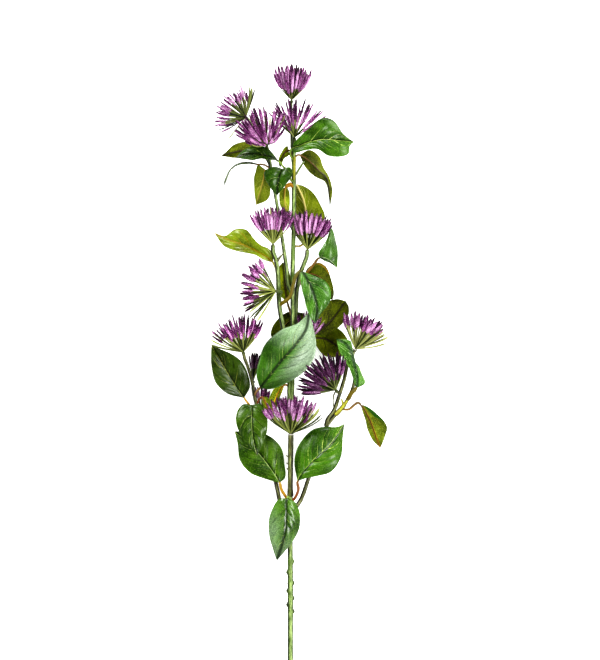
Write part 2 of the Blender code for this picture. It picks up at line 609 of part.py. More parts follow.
def evaluated_mesh(piece):
    """Gives a piece's finished mesh, with its modifiers and caps in place."""
    bpy.context.view_layer.update()
    scene_state = bpy.context.evaluated_depsgraph_get()
    return bpy.data.meshes.new_from_object(piece.evaluated_get(scene_state))


def tree_of(mesh):
    """Makes a search tree of a mesh's faces, to measure distances from it."""
    points = [vertex.co.copy() for vertex in mesh.vertices]
    return BVHTree.FromPolygons(points, [tuple(face.vertices) for face in mesh.polygons])


def make_bloom(number, name, bloom, obstacles, collection):
    """Builds one bloom: spikes joined to their base in one body, each bent clear of the other pieces."""
    draw = random.Random(SEED + number)
    axis = bloom_axis(bloom)
    base = place(bloom["base"])
    centre = base + axis * CORE_HALF_LENGTH
    spikes = bpy.data.collections.new(name + "_spikes")
    bpy.context.scene.collection.children.link(spikes)
    for direction in spike_directions(bloom, draw):
        length = bloom["length"] * (1.0 - draw.uniform(0.0, SPIKE_SHORTER)) - CORE_HALF_LENGTH
        for way in clear_ways(direction, axis):
            if is_clear(centre, way, length, bloom, obstacles):
                mesh = spike_mesh(centre + way * SPIKE_ROOT, way, length - SPIKE_ROOT, bloom)
                spikes.objects.link(bpy.data.objects.new(name + "_spike", mesh))
                break
    head = keep(name, core_mesh(centre, axis), "bloom", collection)
    union = head.modifiers.new("union", "BOOLEAN")
    union.operation = "UNION"
    union.solver = "EXACT"
    union.operand_type = "COLLECTION"
    union.collection = spikes
    joined = evaluated_mesh(head)
    head.modifiers.remove(union)
    head.data = joined
    for spike in list(spikes.objects):
        bpy.data.objects.remove(spike)
    bpy.data.collections.remove(spikes)
    return head


def main():
    for piece in list(bpy.data.objects):
        bpy.data.objects.remove(piece)
    collection = bpy.data.collections.new(COLLECTION)
    bpy.context.scene.collection.children.link(collection)

    waiting = dict(STEMS)
    while waiting:
        for name, stem in list(waiting.items()):
            if stem["parent"] not in waiting:
                stem["line"] = stem_line(stem)
                del waiting[name]

    pieces = [make_stem(name, stem, collection) for name, stem in STEMS.items()]
    pieces += [make_leaf(name, leaf, collection) for name, leaf in LEAVES.items()]
    obstacles = [tree_of(evaluated_mesh(piece)) for piece in pieces]
    for number, (name, bloom) in enumerate(BLOOMS.items()):
        head = make_bloom(number, name, bloom, obstacles, collection)
        obstacles.append(tree_of(head.data))


main()
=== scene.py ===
"""The looks of the centaurea spray: fine stems, veined leaves and beaded blooms for the plain solids.

Places are laid out as in the solids: x runs to the right and y along the main stem towards the flowers,
in millimetres from the middle of the leafy part, and the third number is the height over the main
stem's axis, which rises gently from the cut end that rests on the table.
"""

import json
import math
import random
from collections import namedtuple
from dataclasses import dataclass
from functools import cache, cached_property

import bpy
import numpy as np
from mathutils import Matrix, Vector
from mathutils.bvhtree import BVHTree
from mathutils.kdtree import KDTree

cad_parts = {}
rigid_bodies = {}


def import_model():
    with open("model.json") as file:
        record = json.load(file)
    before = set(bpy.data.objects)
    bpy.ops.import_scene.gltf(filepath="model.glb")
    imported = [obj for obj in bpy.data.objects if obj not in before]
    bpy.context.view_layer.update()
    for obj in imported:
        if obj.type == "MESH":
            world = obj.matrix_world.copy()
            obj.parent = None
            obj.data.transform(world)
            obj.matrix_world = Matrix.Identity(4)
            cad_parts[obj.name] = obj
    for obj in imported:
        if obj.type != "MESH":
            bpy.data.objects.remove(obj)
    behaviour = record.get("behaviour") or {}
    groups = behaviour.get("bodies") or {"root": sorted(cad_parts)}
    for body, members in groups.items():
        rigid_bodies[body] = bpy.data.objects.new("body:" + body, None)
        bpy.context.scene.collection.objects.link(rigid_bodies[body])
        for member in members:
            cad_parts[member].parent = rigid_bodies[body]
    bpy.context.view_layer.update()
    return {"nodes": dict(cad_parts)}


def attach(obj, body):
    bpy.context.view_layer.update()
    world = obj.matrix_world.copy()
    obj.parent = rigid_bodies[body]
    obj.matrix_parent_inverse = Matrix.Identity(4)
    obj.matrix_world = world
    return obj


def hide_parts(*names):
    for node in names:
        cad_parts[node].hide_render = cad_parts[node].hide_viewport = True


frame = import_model()

MM = 0.001

# The main stem lies on its cut end and rises along its length
STEM_RADIUS = 3.05
CUT_END = -433.0
RISE = 0.09

# Middle of the whole spray in the layout, which is over the frame's origin
MIDDLE = (-0.2, -83.55)

# Clear space between the solids, and the rounding of lines
GAP = 0.3
STEPS = 16

# Knots of the lower stem, as heights along it: how far they stand out all round and on their own side
KNOTS = (-283.0, -276.0, -269.5, -262.0, -254.2, -243.4, -232.5)
KNOT_SWELL = 0.3
KNOT_BUD = 1.5
KNOT_HALF = 2.1

# Stems: sides of a tube, rows per millimetre, ribs, roughness, and the collar where one grows from another
STEM_SIDES = 20
STEM_ROWS = 0.7
MAIN_STEM_ROWS = 1.4
STEM_RIBS = 5
RIB_HEIGHT = 0.10
RIB_TWIST = 0.03
STEM_ROUGH = 0.07
COLLAR_SWELL = 0.25
COLLAR_LENGTH = 7.0
STEM_JOINT = 7.0
LEAF_JOINT = 2.5
NECK = 4.0
TWIG_SIDES = 16

# Leaves: rows from base to tip, columns on each half, thickness and relief, in millimetres
LEAF_ROWS = 64
HALF_COLUMNS = 15
FINE_COLUMNS = 0.35
BLADE = 0.36
CAMBER = 0.085
GROOVE = 0.2
GROOVE_WIDTH = 0.75
QUILT = 0.75
QUILT_STEP = 0.5
EDGE_WAVE = 0.55
WAVE_RATES = (1.7, 3.1)
NARROW = 9.0
PETIOLE = 1.05
RIB_START = 0.62
RIB_END = 0.16
RIB_SINK = 0.45
HIDDEN_RIB_SINK = 0.85
STALK_SIDES = 10
STALK_STEP = 1.2

# How the side veins leave the midrib and curve to the tip
VEIN_SPACING = 6.6
VEIN_LEAN = 0.26
VEIN_CURL = 0.15
VEIN_UNEVEN = 0.16

# Blooms: the green urn that carries the spikes, and the spikes
CORE_HALF_LENGTH = 2.4
URN_ROWS = 12
URN_SIDES = 24
URN_RADIUS = 1.9
URN_HEIGHT = 3.0
URN_SCALES = 0.16
SPIKE_ROOT = 0.5
SPIKE_SIDES = 8
SPIKE_ROWS = 26
FILAMENT_ROWS = 8
BARE_SIDES = 6
BARE_ROWS = 12
BARE_ANYWHERE = 0.03
FILAMENT_RADIUS = 0.56
CLUB_RADIUS = 1.3
CLUB_UNEVEN = 0.07
CLUB_LUMPS = 0.16
SPIKE_SHORTER = 0.14
SPIKE_CLEARANCE = 0.3
SPIKE_TEST_STEP = 1.2
SPIKE_BEND = 1.3
SEED = 40
GOLDEN_ANGLE = math.pi * (3.0 - math.sqrt(5.0))

# Nothing goes lower than this over the table, in millimetres
ABOVE_FLOOR = 0.02

# Camera: straight down on the middle of the photo's frame, whose 660 rows are 660 mm
CAMERA_HEIGHT = 5.0
PLANT_HEIGHT = 0.045
VIEW_HEIGHT = 0.660
SENSOR = 36.0

# The floor, and soft square lights: where each stands, what it looks at, its size and its power
FLOOR_HALF = 6.0
FLOOR_DEPTH = 0.0002
LIGHTS = {
    "key": ((-1.1, 1.0, 1.5), (0, 0.08, 0.05), 0.8, 46),
    "side": ((1.3, 0.7, 1.2), (0, 0.08, 0.05), 0.8, 22),
    "front": ((0.66, -0.54, 1.5), (0, 0.06, 0.05), 0.5, 17),
    "back": ((0.2, 1.6, 1.0), (0, 0.08, 0.05), 0.5, 8),
}

# Colours as they look, in 0 to 255
WHITE = (255, 255, 255)
FLOOR_TONE = (243.445, 243.445, 243.445)
# The pale tone of the painted sheen on two leaves' upper sides
PAINTED_SHEEN_TONE = (188, 206, 182)
SPECK_TONE = (38.684, 32.730, 15.557)
FILAMENT_SPECKS = (34, 42, 10)
CLUB_TONES = ((32, 3, 28), (134, 60, 124), (216, 170, 208))
CLUB_TIP = (54, 34, 44)

# A stem's side shoot or sleeve, and a leaf's colours above and below with how strong its veins are
Twig = namedtuple("Twig", "look radii way")
# valley is the colour of the painted shade in the upper side's creases and along the midrib's valley
TopLook = namedtuple("TopLook", "deep top light valley vein veins coat soft rough",
                     defaults=(0.22, 0.18, 0.27))
UnderLook = namedtuple("UnderLook", "deep mid light vein veins")


@dataclass
class Stem:
    """What it grows from, the bloom on its end, its radius at both ends, and its way as far as the bloom's
    neck, first point on the parent's axis."""

    parent: str
    bloom: str
    radii: tuple
    way: list
    look: str = "green"
    twigs: tuple = ()


@dataclass
class Leaf:
    """The stem it grows from, its look and its stalk's, how far the edges stand over the midrib, the stalk's
    way from the stem's axis, the midrib, and the two edges between base and tip as seen from above looking
    to the tip. The line is the side of the midrib with a pale line, partly the midrib's own pale colour and
    partly a painted highlight; the other side keeps the painted shade of the groove, and dark means both do."""

    parent: str
    look: str
    stalk_look: str
    lift: tuple
    petiole: list
    rib: list
    left: list
    right: list
    line: str = "dark"
    # Shade makes all the leaf's colours lighter or darker: partly its own tone, partly painted light that
    # lifts leaves lying in shade under others
    shade: float = 1.0
    quilt: float = 1.0
    painted_sheen: float = 0.0
    stalk: float = PETIOLE
    curl: dict = None


@dataclass
class Bloom:
    """Base on the stalk, compass direction from +y towards +x and tilt up from the table in degrees, the
    fan's half-angle, how far the outermost spikes bow out, length from the base to the tips, share of it
    where the clubs begin, and number of spikes, which full multiplies. Bare is the compass direction where
    spikes have no club and how many of them. Strays are single filaments: compass direction and thickness."""

    base: tuple
    heading: float
    tilt: float
    fan: float
    bow: float
    length: float
    club: float
    spikes: int
    full: float = 1.9
    bright: float = 1.0
    deep: float = 0.0
    fade: float = 0.15
    thick: float = 1.0
    taper: float = 1.0
    filament: str = "green"
    ring: bool = False
    bare: tuple = (0, 0)
    strays: tuple = ()
    stray_reach: float = 1.0

    @cached_property
    def axis(self):
        heading, tilt = math.radians(self.heading), math.radians(self.tilt)
        level = math.cos(tilt)
        return Vector((math.sin(heading) * level, math.cos(heading) * level, math.sin(tilt)))


# The stems, first point of each on its parent's axis
STEMS = {
    "main_stem": Stem(None, "bloom_04", (STEM_RADIUS, 2.1),
        [(-9.7, CUT_END, 0), (-9.7, -300, 0), (-9.7, -170, 0), (-9, -110, 0), (-8, -55, 0), (-7, 0, 0),
         (-7.3, 58, 0), (-6.5, 95, 0), (-6.2, 130, 0), (-6.2, 165, 0)], look="main",
        twigs=[Twig("ochre", (1.7, 1.3), [(-5.4, 173, 1.0), (-5.6, 162, 1.7), (-6.0, 150, 1.2)]),
               Twig("green", (1.2, 1.0), [(-4.5, 154.5, -0.5), (-1.5, 159.5, -2.5), (4, 168.5, -6.5)]),
               Twig("main", (2.3, 2.1), [(-9.6, -96, 0.3), (-10.4, -80, 1.2), (-10.4, -45, 1.2),
                    (-8.6, -20, 0.5)])]),
    "left_branch": Stem("main_stem", "bloom_08", (2.2, 1.5),
        [(-9.7, -186, 0), (-19, -176, -2), (-24, -154, -3), (-34, -115, -3), (-44, -74, -3),
         (-48.5, -50, -2), (-53, -35, -1)], look="dark"),
    "right_branch": Stem("main_stem", "bloom_09", (2.2, 1.5),
        [(-9.7, -182, 0), (-2, -175, -2), (9, -148, -4), (26, -98, -4), (36, -84.5, -3), (44, -75.5, -1.5),
         (51.4, -62, 0), (54.7, -49, 0), (55.3, -37, 0)], look="dark",
        twigs=[Twig("ochre", (2.6, 2.2), [(35.5, -84.9, -2.6), (40, -80.3, -2), (44.5, -75, -1.2)]),
               Twig("ochre", (1.9, 1.7), [(43, -77, -1.2), (47.5, -70, -0.3), (53, -61.2, 0.5)]),
               Twig("ochre", (0.8, 1.4), [(41.5, -69, 0), (43, -73.5, 0), (43, -76.5, -1)])]),
    "side_branch": Stem("right_branch", None, (2.0, 1.8),
        [(30, -90, -4), (33.5, -81.5, -3), (39.3, -65.5, -2.5), (44.3, -49.6, -5), (47.3, -35.6, -9.5),
         (49.5, -24, -12)], look="dark",
        twigs=[Twig("dark", (0.7, 0.6), [(35.6, -61, 2), (33.6, -66, 2), (33.4, -75, 1),
                    (34.5, -79, -2)])]),
    "bloom_stalk_01": Stem("main_stem", "bloom_01", (1.5, 1.3),
        [(-6.1, 170, 0), (-8, 178, -5.5), (-8.5, 205, -7.5)]),
    "bloom_stalk_02": Stem("bloom_stalk_03", "bloom_02", (1.3, 1.2),
        [(-30, 166, 5), (-37, 176, -4), (-44, 193, -19)]),
    "bloom_stalk_03": Stem("main_stem", "bloom_03", (2.0, 1.4),
        [(-7.2, 44, 0), (-13.5, 62, 1), (-18, 93, 2), (-23, 125, 3), (-26.5, 145, 4), (-29, 162, 5)]),
    "bloom_stalk_05": Stem("main_stem", "bloom_05", (2.5, 2.1),
        [(-7.4, -28, 0), (-13, -14, 2), (-17, 4, 3), (-20, 20, 4), (-21.5, 38, 5), (-22, 55, 6),
         (-24, 70, 6)], look="green",
        twigs=[Twig("dark", (1.5, 0.5), [(-23, 68.5, 6.5), (-20.5, 72, 7.5), (-16.2, 76.8, 8.5)])]),
    "bloom_stalk_06": Stem("main_stem", "bloom_06", (2.3, 2.1),
        [(-7.1, 6, 0), (-4.4, 16, -6.3), (-3, 40, -7), (0.6, 57, -7), (4.3, 67, -5.3)]),
    "bloom_stalk_07": Stem("bloom_stalk_05", "bloom_07", (1.2, 1.1), [(-21.2, 34, 5), (-18.5, 37.5, 11)]),
    "bloom_stalk_10": Stem("side_branch", "bloom_10", (1.3, 1.2), [(39, -66.5, -2.5)], look="dark"),
    "bloom_stalk_11": Stem("main_stem", "bloom_11", (2.6, 2.4),
        [(-9.7, -160, 0), (-9.8, -154, 8), (-9.7, -140, 11), (-9.5, -122, 13)], look="bark",
        twigs=[Twig("bark", (0.8, 0.5), [(-10.8, -126.8, 11.5), (-12.6, -126.3, 12),
                    (-13.6, -125.4, 12.2)]),
               Twig("bark", (0.8, 0.5), [(-10.8, -134.2, 11.5), (-12.6, -133.6, 12),
                    (-13.4, -132.8, 12.2)]),
               Twig("bark", (0.8, 0.5), [(-10.8, -139.8, 11), (-12.6, -139.2, 11),
                    (-13.5, -138.6, 11.2)])]),
    "bloom_stalk_12": Stem("left_branch", "bloom_12", (1.2, 1.1), [(-44.5, -76, -3), (-46, -68, -9)]),
    "bloom_stalk_13": Stem("main_stem", "bloom_13", (1.2, 1.1), [(-7.6, -36, 0), (-2, -31, -3)]),
    "bloom_stalk_14": Stem("left_branch", "bloom_14", (1.2, 1.1), [(-36, -108, -3), (-38.5, -100, -10)]),
}

# The leaves. Those whose look is one of UNDER_LOOKS show their lower side
LEAVES = {
    "leaf_01": Leaf("main_stem", "fresh", "green", (3, 3), [(-6.2, 172, 0), (-9.8, 175, 3.5)],
        [(-8.5, 180.5, 5), (-1, 183.5, 6.5), (10, 187.5, 9), (24, 190, 12), (36, 189, 10),
         (53.7, 187.5, 4)], [(-6, 186), (1, 194), (13.3, 205), (23.3, 211), (33.3, 208.3), (43.3, 195)],
        [(-5, 176.5), (3.3, 178.5), (16.7, 180), (28.3, 173.3), (41.7, 172.5), (48.3, 175.5), (49.5, 183)],
        line="right"),
    "leaf_02": Leaf("main_stem", "deep", "green", (7, -4),
        [(-6.2, 158, 0), (-12, 159.5, 5), (-17, 163, 11)],
        [(-21, 168, 15), (-34, 173, 17), (-50, 175, 17), (-64, 171.5, 14)], [(-31, 169.5), (-50, 169)],
        [(-33, 181), (-47, 183), (-56, 179)]),
    "leaf_03": Leaf("bloom_stalk_03", "olive", "brown", (-3, -3), [(-31.5, 174, 7), (-35, 176.5, 3)],
        [(-39, 179, 0), (-58, 179, -3), (-79, 174, -8)], [(-50, 173), (-58, 171.5), (-67, 172)],
        [(-47, 185), (-55, 188), (-66, 185), (-75, 177)]),
    "leaf_04": Leaf("bloom_stalk_03", "dark", "brown", (6, -6), [(-29, 161, 5), (-33, 163.5, 0)],
        [(-41, 166, -12), (-60, 167.5, -20), (-70, 161, -25), (-77, 142, -30)],
        [(-50, 166.5), (-67, 162), (-74, 150)], [(-50, 168), (-67, 164), (-75.5, 151)]),
    "leaf_05": Leaf("bloom_stalk_03", "pale_olive", "ochre", (-2, -2), [(-27, 149, 4), (-30.5, 153.5, -2)],
        [(-34.5, 160, -8), (-37, 149, -10), (-44, 125, -14)], [(-31.4, 158), (-29.5, 143), (-32, 131)],
        [(-42, 165), (-45, 157), (-46, 142)], shade=0.84),
    "leaf_06": Leaf("main_stem", "deep", "green", (2, 2),
        [(-6.2, 150, 0), (-11, 154.5, 3), (-15.5, 158.5, 7)],
        [(-17, 160, 12), (-21, 151, 14), (-23, 134, 10)], [(-10.5, 162), (-7.5, 156), (-14, 145)],
        [(-26, 162.5), (-35.5, 157), (-31, 144)]),
    "leaf_07": Leaf("main_stem", "olive", "brown", (1, 1), [(-6.2, 176, 0), (-9.8, 178.5, -1)],
        [(-11.5, 179.5, -2), (-15, 177.5, -2), (-18.8, 171, -1), (-20, 161, 2)],
        [(-11, 174.5), (-15, 172), (-18, 166.5)], [(-12.5, 183.5), (-17.5, 179), (-21.3, 169.5)],
        shade=1.2),
    "leaf_08": Leaf("main_stem", "olive", "brown", (-3, -3), [(-6.2, 173, 0), (-2.8, 174.5, -5)],
        [(-0.5, 175, -7), (10, 168.3, -11), (18.3, 160, -20), (26.7, 152.5, -33), (30.3, 124.2, -52.7)],
        [(10, 180), (18.3, 175), (23.3, 165), (27, 157), (32.5, 141.7)],
        [(5, 163.3), (13.3, 155), (25, 149.2), (29.2, 133.3)], shade=0.95),
    "leaf_09": Leaf("main_stem", "cream_olive", "cream", (-3, -3), [(-6.6, 84, 0), (0, 84, -8)],
        [(10, 94, -15), (6, 118, -20), (3, 132, -21), (-3.5, 146, -18)], [(2, 100), (-5, 116), (-6, 134)],
        [(22, 104), (25, 114), (22, 123), (12.6, 138), (4, 144)]),
    "leaf_10": Leaf("main_stem", "pale_olive", "ochre", (1, -2), [(-6.2, 146, 0), (-10.4, 145, 0)],
        [(-13.5, 143, 0), (-15.5, 132, 2), (-12, 114, 1)], [(-11, 138), (-10.4, 125)],
        [(-19, 140), (-21, 132), (-18, 121)], stalk=2.2),
    "leaf_11": Leaf("bloom_stalk_05", "light", "olive", (3, 3), [(-22.6, 58, 6), (-24.6, 63, 1.5)],
        [(-27, 67.5, 0.5), (-32, 72.5, 1.5), (-40, 77.5, 2.5), (-55, 85, 1.5), (-72, 91, -2),
         (-86, 97.5, -7)], [(-36, 70), (-44, 74.7), (-56, 77), (-65.5, 79.5), (-75.6, 83.7)],
        [(-27, 75), (-31, 81), (-39, 85), (-47, 92), (-53, 99.5), (-58.5, 101.3), (-65.5, 100.3),
         (-75, 94)], line="right"),
    "leaf_12": Leaf("bloom_stalk_06", "cool", "brown", (-2, -1), [(-1, 51, -6), (7, 57, -4), (14, 66, -2)],
        [(19.5, 72.3, 0), (26, 71.5, 3), (32, 67.5, 2), (37.4, 61.5, -2)],
        [(18.5, 76.5), (22, 82.5), (26, 89), (31.3, 101.7), (35.3, 91), (37.5, 76)],
        [(24, 69.3), (30, 67), (34.5, 64)], line="left", stalk=1.3),
    "leaf_13": Leaf("bloom_stalk_06", "brown_olive", "red", (-2, -2), [(-2.4, 44, -6), (1, 50, -11)],
        [(5, 56, -14), (18, 54, -15), (27, 45, -17), (32.5, 30, -20)],
        [(7, 61), (19, 67.5), (25.5, 64), (32.5, 46), (34, 37)], [(10, 46), (19, 39), (28, 33)],
        curl=dict(middle=0.42, half=0.24, width=0.2, tone=(120, 100, 24))),
    "leaf_14": Leaf("bloom_stalk_05", "wet", "deep_olive", (-3, 2),
        [(-20.8, 27, 4), (-15, 28.5, 7.5), (-9.6, 34, 9), (-7, 44, 10), (-4, 54, 10)],
        [(0.5, 59, 11), (9, 47, 15), (15, 32, 18), (17, 20, 19), (15.4, 6, 19)],
        [(13.9, 54.3), (26.3, 47.6), (30.7, 38), (29.4, 27.4), (20, 15)],
        [(0.8, 46), (4.5, 30.5), (9.2, 15)], stalk=1.9),
    "leaf_15": Leaf("left_branch", "sheen", "brown", (3, -7), [(-46, -64, -2.6), (-43, -61, 3)],
        [(-40, -58, 8), (-19, -31, 14), (-4, -14, 15.5), (6, 1, 11), (9, 18, 5)],
        [(-43.5, -44), (-40, -28), (-34, -13), (-19, 0), (-2, 7)],
        [(-29.5, -59), (-14, -53.5), (3, -42), (12.6, -31), (16, -15), (14, 0)], quilt=0.6, painted_sheen=0.52),
    "leaf_16": Leaf("left_branch", "dark", "ochre", (3, 4), [(-42.6, -80, -3), (-48, -78, 2)],
        [(-56, -68, 4), (-68, -50, 6), (-78, -33, 6), (-88.6, -15, 2)],
        [(-73, -63.5), (-84, -53), (-88.3, -38), (-89, -25)],
        [(-50, -56), (-53, -42), (-59, -31), (-70, -23), (-82, -18)], line="left", shade=0.94),
    "leaf_17": Leaf("left_branch", "mid", "green", (-2, -3), [(-41.5, -84, -3), (-43.4, -80.5, 4)],
        [(-47, -75, 9), (-48, -90, 14), (-47, -107, 16), (-43, -125.4, 15)],
        [(-40, -74), (-34, -82), (-32.5, -97), (-35.5, -110)],
        [(-57, -74.5), (-62.5, -81), (-64, -91), (-59, -106)], line="right", shade=0.86),
    "leaf_18": Leaf("main_stem", "mid", "ochre", (-1, -3),
        [(-9.7, -171, 0), (-15, -166, 4), (-18.6, -160, 6.5)],
        [(-20.4, -153, 8), (-32, -135, 7), (-47, -117, 6), (-65.3, -101.6, 2)],
        [(-35, -149), (-50, -143), (-60, -131), (-62.5, -114)],
        [(-15, -148), (-15.5, -135), (-19, -118), (-32, -105.6), (-50, -102)], line="left", shade=0.97,
        stalk=1.45),
    "leaf_19": Leaf("main_stem", "fresh", "red", (-6, 0),
        [(-9.7, -173, 0), (-4.4, -167.5, 3.5), (-1.6, -159.5, 5)],
        [(-2.5, -151.5, 6), (11, -133, 8), (20, -124, 9), (29, -116, 8), (44.4, -94, 3)],
        [(-5.6, -131), (-1, -115), (13, -100), (25, -97), (38, -97)],
        [(4, -149), (18, -146), (31, -142), (41, -127), (43, -106)], line="left", stalk=1.45),
    "leaf_20": Leaf("main_stem", "silky", "green", (-4, -4),
        [(-9.7, -179, 0), (-10.3, -173, 5.5), (-12, -167, 9.5)],
        [(-13, -168.5, 11.5), (-13.8, -188, 12.5), (-15, -203, 12), (-23.2, -231.5, 7)],
        [(-5.5, -172), (-0.5, -182), (0.4, -190), (-2.5, -204), (-12.5, -218.5)],
        [(-21, -169.5), (-28, -180), (-31.5, -192.5), (-30, -210), (-26.5, -222.5)], shade=1.12,
        painted_sheen=0.22),
    "leaf_21": Leaf("right_branch", "cool", "deep_olive", (-1, -2),
        [(48.8, -67.5, -0.7), (51.5, -63, 3.6)],
        [(56, -58.5, 4.2), (57.3, -47, 4.6), (54.9, -36, 5), (51.5, -23, 5), (46.5, -14.5, 4),
         (36.3, -8.7, 2)], [(53.2, -49), (49.3, -38.3), (44.3, -29.8), (39.3, -20.4)],
        [(65, -53), (62, -44), (58.8, -36), (55.9, -33), (53.6, -25), (52.1, -16), (50.6, -11.3)],
        shade=1.35, stalk=2.2),
    "leaf_22": Leaf("right_branch", "lime", "brown", (3, 1),
        [(41.5, -78.5, -2), (48.8, -79.6, -5.5), (55, -74.8, -9), (58.2, -73, -11)],
        [(61, -75, -12.5), (67, -84, -15), (72, -95, -19), (77, -109, -25), (81, -119, -30.9)],
        [(67, -77), (79, -86), (87.5, -97), (85, -109)], [(63, -82), (66, -91), (68, -100), (74, -112)],
        shade=0.9, stalk=1.2, curl=dict(middle=0.2, half=0.32, width=0.5, tone=(44, 84, 20))),
    "leaf_23": Leaf("main_stem", "brown_olive", "brown", (-2, -2), [(-7.2, -16, 0), (0, -12, -8)],
        [(13, -4, -15), (29, 7, -20), (46, 29, -25)], [(14, 12), (24, 26), (36, 31)],
        [(26, -5), (39, 3), (48, 14), (49, 23)], shade=1.05),
    "leaf_24": Leaf("main_stem", "olive", "brown", (-2, -2), [(-7.3, -24, 0), (0, -20, -13)],
        [(13, -9, -22), (25, -9, -27), (36, -15, -29), (50, -24, -29)], [(22, 2), (37, 2), (48, -10)],
        [(17, -17), (25, -26), (40, -27)], shade=1.25),
    "leaf_25": Leaf("main_stem", "olive", "brown", (-1, -1), [(-7.1, 16, 0), (-10, 19, -6)],
        [(-12.5, 27, -9), (-15.5, 48, -11), (-17, 68, -13)], [(-22, 38), (-23, 54), (-21, 63)],
        [(-9, 36), (-9, 50), (-12.5, 62)], shade=1.3),
    "leaf_26": Leaf("main_stem", "olive", "ochre", (-2, -2), [(-7.4, -20, 0), (-12, -20, -5.5)],
        [(-21, -13.5, -10.5), (-17, 3, -11), (3, 17, -10)], [(-29, -6), (-26, 6), (-12, 18)],
        [(-14, -10), (-5, 0), (3, 9)]),
    "leaf_27": Leaf("main_stem", "lime", "ochre", (-3, 2), [(-8, -58, 0), (-12, -56, 1)],
        [(-15.5, -55, 0), (-22, -64, -1), (-26.5, -76, -3), (-28.5, -87, -5)],
        [(-19, -65), (-22, -73), (-25, -82)], [(-25, -58), (-30, -66), (-32, -79)], shade=1.5),
    "leaf_28": Leaf("left_branch", "lime", "red", (1, 1), [(-43.8, -72, -3), (-40.5, -69, 0)],
        [(-37.5, -67, 4), (-34.5, -73, 6), (-31, -81, 6)], [(-33, -67), (-30, -74)],
        [(-38, -72), (-35, -79)]),
}

# The blooms
BLOOMS = {
    "bloom_01": Bloom((-8.5, 227.2, -8), heading=2, tilt=18, fan=36, bow=5, length=40.5, club=0.38,
        spikes=22, full=2.1),
    "bloom_02": Bloom((-53, 212, -31.36), heading=-57, tilt=-18, fan=58, bow=3, length=35, club=0.58,
        spikes=26, bright=0.9, taper=0.8, filament="dark",
        strays=((-104, 1.0), (-116, 1.0), (-142, 1.0), (8, 1.2), (14, 1.7), (19, 1.3))),
    "bloom_03": Bloom((-32.9, 182.4, 9), heading=-18, tilt=42, fan=48, bow=4, length=43, club=0.36,
        spikes=28, bright=1.08, full=2.2),
    "bloom_04": Bloom((-5.9, 190, 0.5), heading=4, tilt=22, fan=54, bow=1, length=44, club=0.46, spikes=24,
        full=1.6, taper=0.85, strays=((-43, 1.0), (-38, 1.0))),
    "bloom_05": Bloom((-27, 83.4, 6), heading=1, tilt=2, fan=38, bow=5, length=41.5, club=0.46, spikes=26,
        full=2.7),
    "bloom_06": Bloom((7.2, 78.2, -3.5), heading=5, tilt=0, fan=42, bow=5, length=42.5, club=0.48,
        spikes=26, full=2.6),
    "bloom_07": Bloom((-22, 38.6, 12.5), heading=-84, tilt=-8, fan=60, bow=1, length=42, club=0.66,
        spikes=24, full=1.9, thick=1.3, bare=(-150, 1.0),
        strays=((-120, 1.0), (-128, 1.3), (-139, 1.3), (-149, 1.3))),
    "bloom_08": Bloom((-56.4, -24.3, 0.5), heading=-12, tilt=3, fan=52, bow=3, length=42, club=0.58,
        spikes=27, bright=1.15, full=2.2, thick=1.1, taper=0.72, fade=0.26,
        strays=((-75, 1.4), (-83, 1.4))),
    "bloom_09": Bloom((54.6, -21.2, 0), heading=24, tilt=-4, fan=47, bow=2, length=42, club=0.64,
        spikes=26, full=2.0, thick=1.3, bare=(95, 0.8), filament="pale", ring=True,
        strays=((70, 1.4), (81, 1.5)), stray_reach=0.84),
    "bloom_10": Bloom((37.2, -61.8, 3.5), heading=-40, tilt=6, fan=60, bow=2, length=43.5, club=0.44,
        spikes=27, full=3.0, bright=0.82, deep=0.1, fade=0.22, taper=0.85, filament="dark"),
    "bloom_11": Bloom((-9.4, -106.2, 16), heading=1, tilt=2, fan=54, bow=5, length=43.5, club=0.58,
        spikes=28, full=2.5, thick=1.1, fade=0.12, bright=0.95, bare=(80, 0.5), ring=True,
        strays=((50, 1.2), (57, 1.2), (62, 1.0))),
    "bloom_12": Bloom((-47.3, -53, -16), heading=6, tilt=4, fan=16, bow=1, length=31, club=0.5, spikes=8,
        bright=0.55, thick=0.75, filament="dark"),
    "bloom_13": Bloom((3.6, -16, -5), heading=10, tilt=-4, fan=42, bow=2, length=36, club=0.5, spikes=12,
        bright=0.85, thick=0.8),
    "bloom_14": Bloom((-38.3, -85, -16), heading=12, tilt=2, fan=32, bow=2, length=30, club=0.5, spikes=9),
}

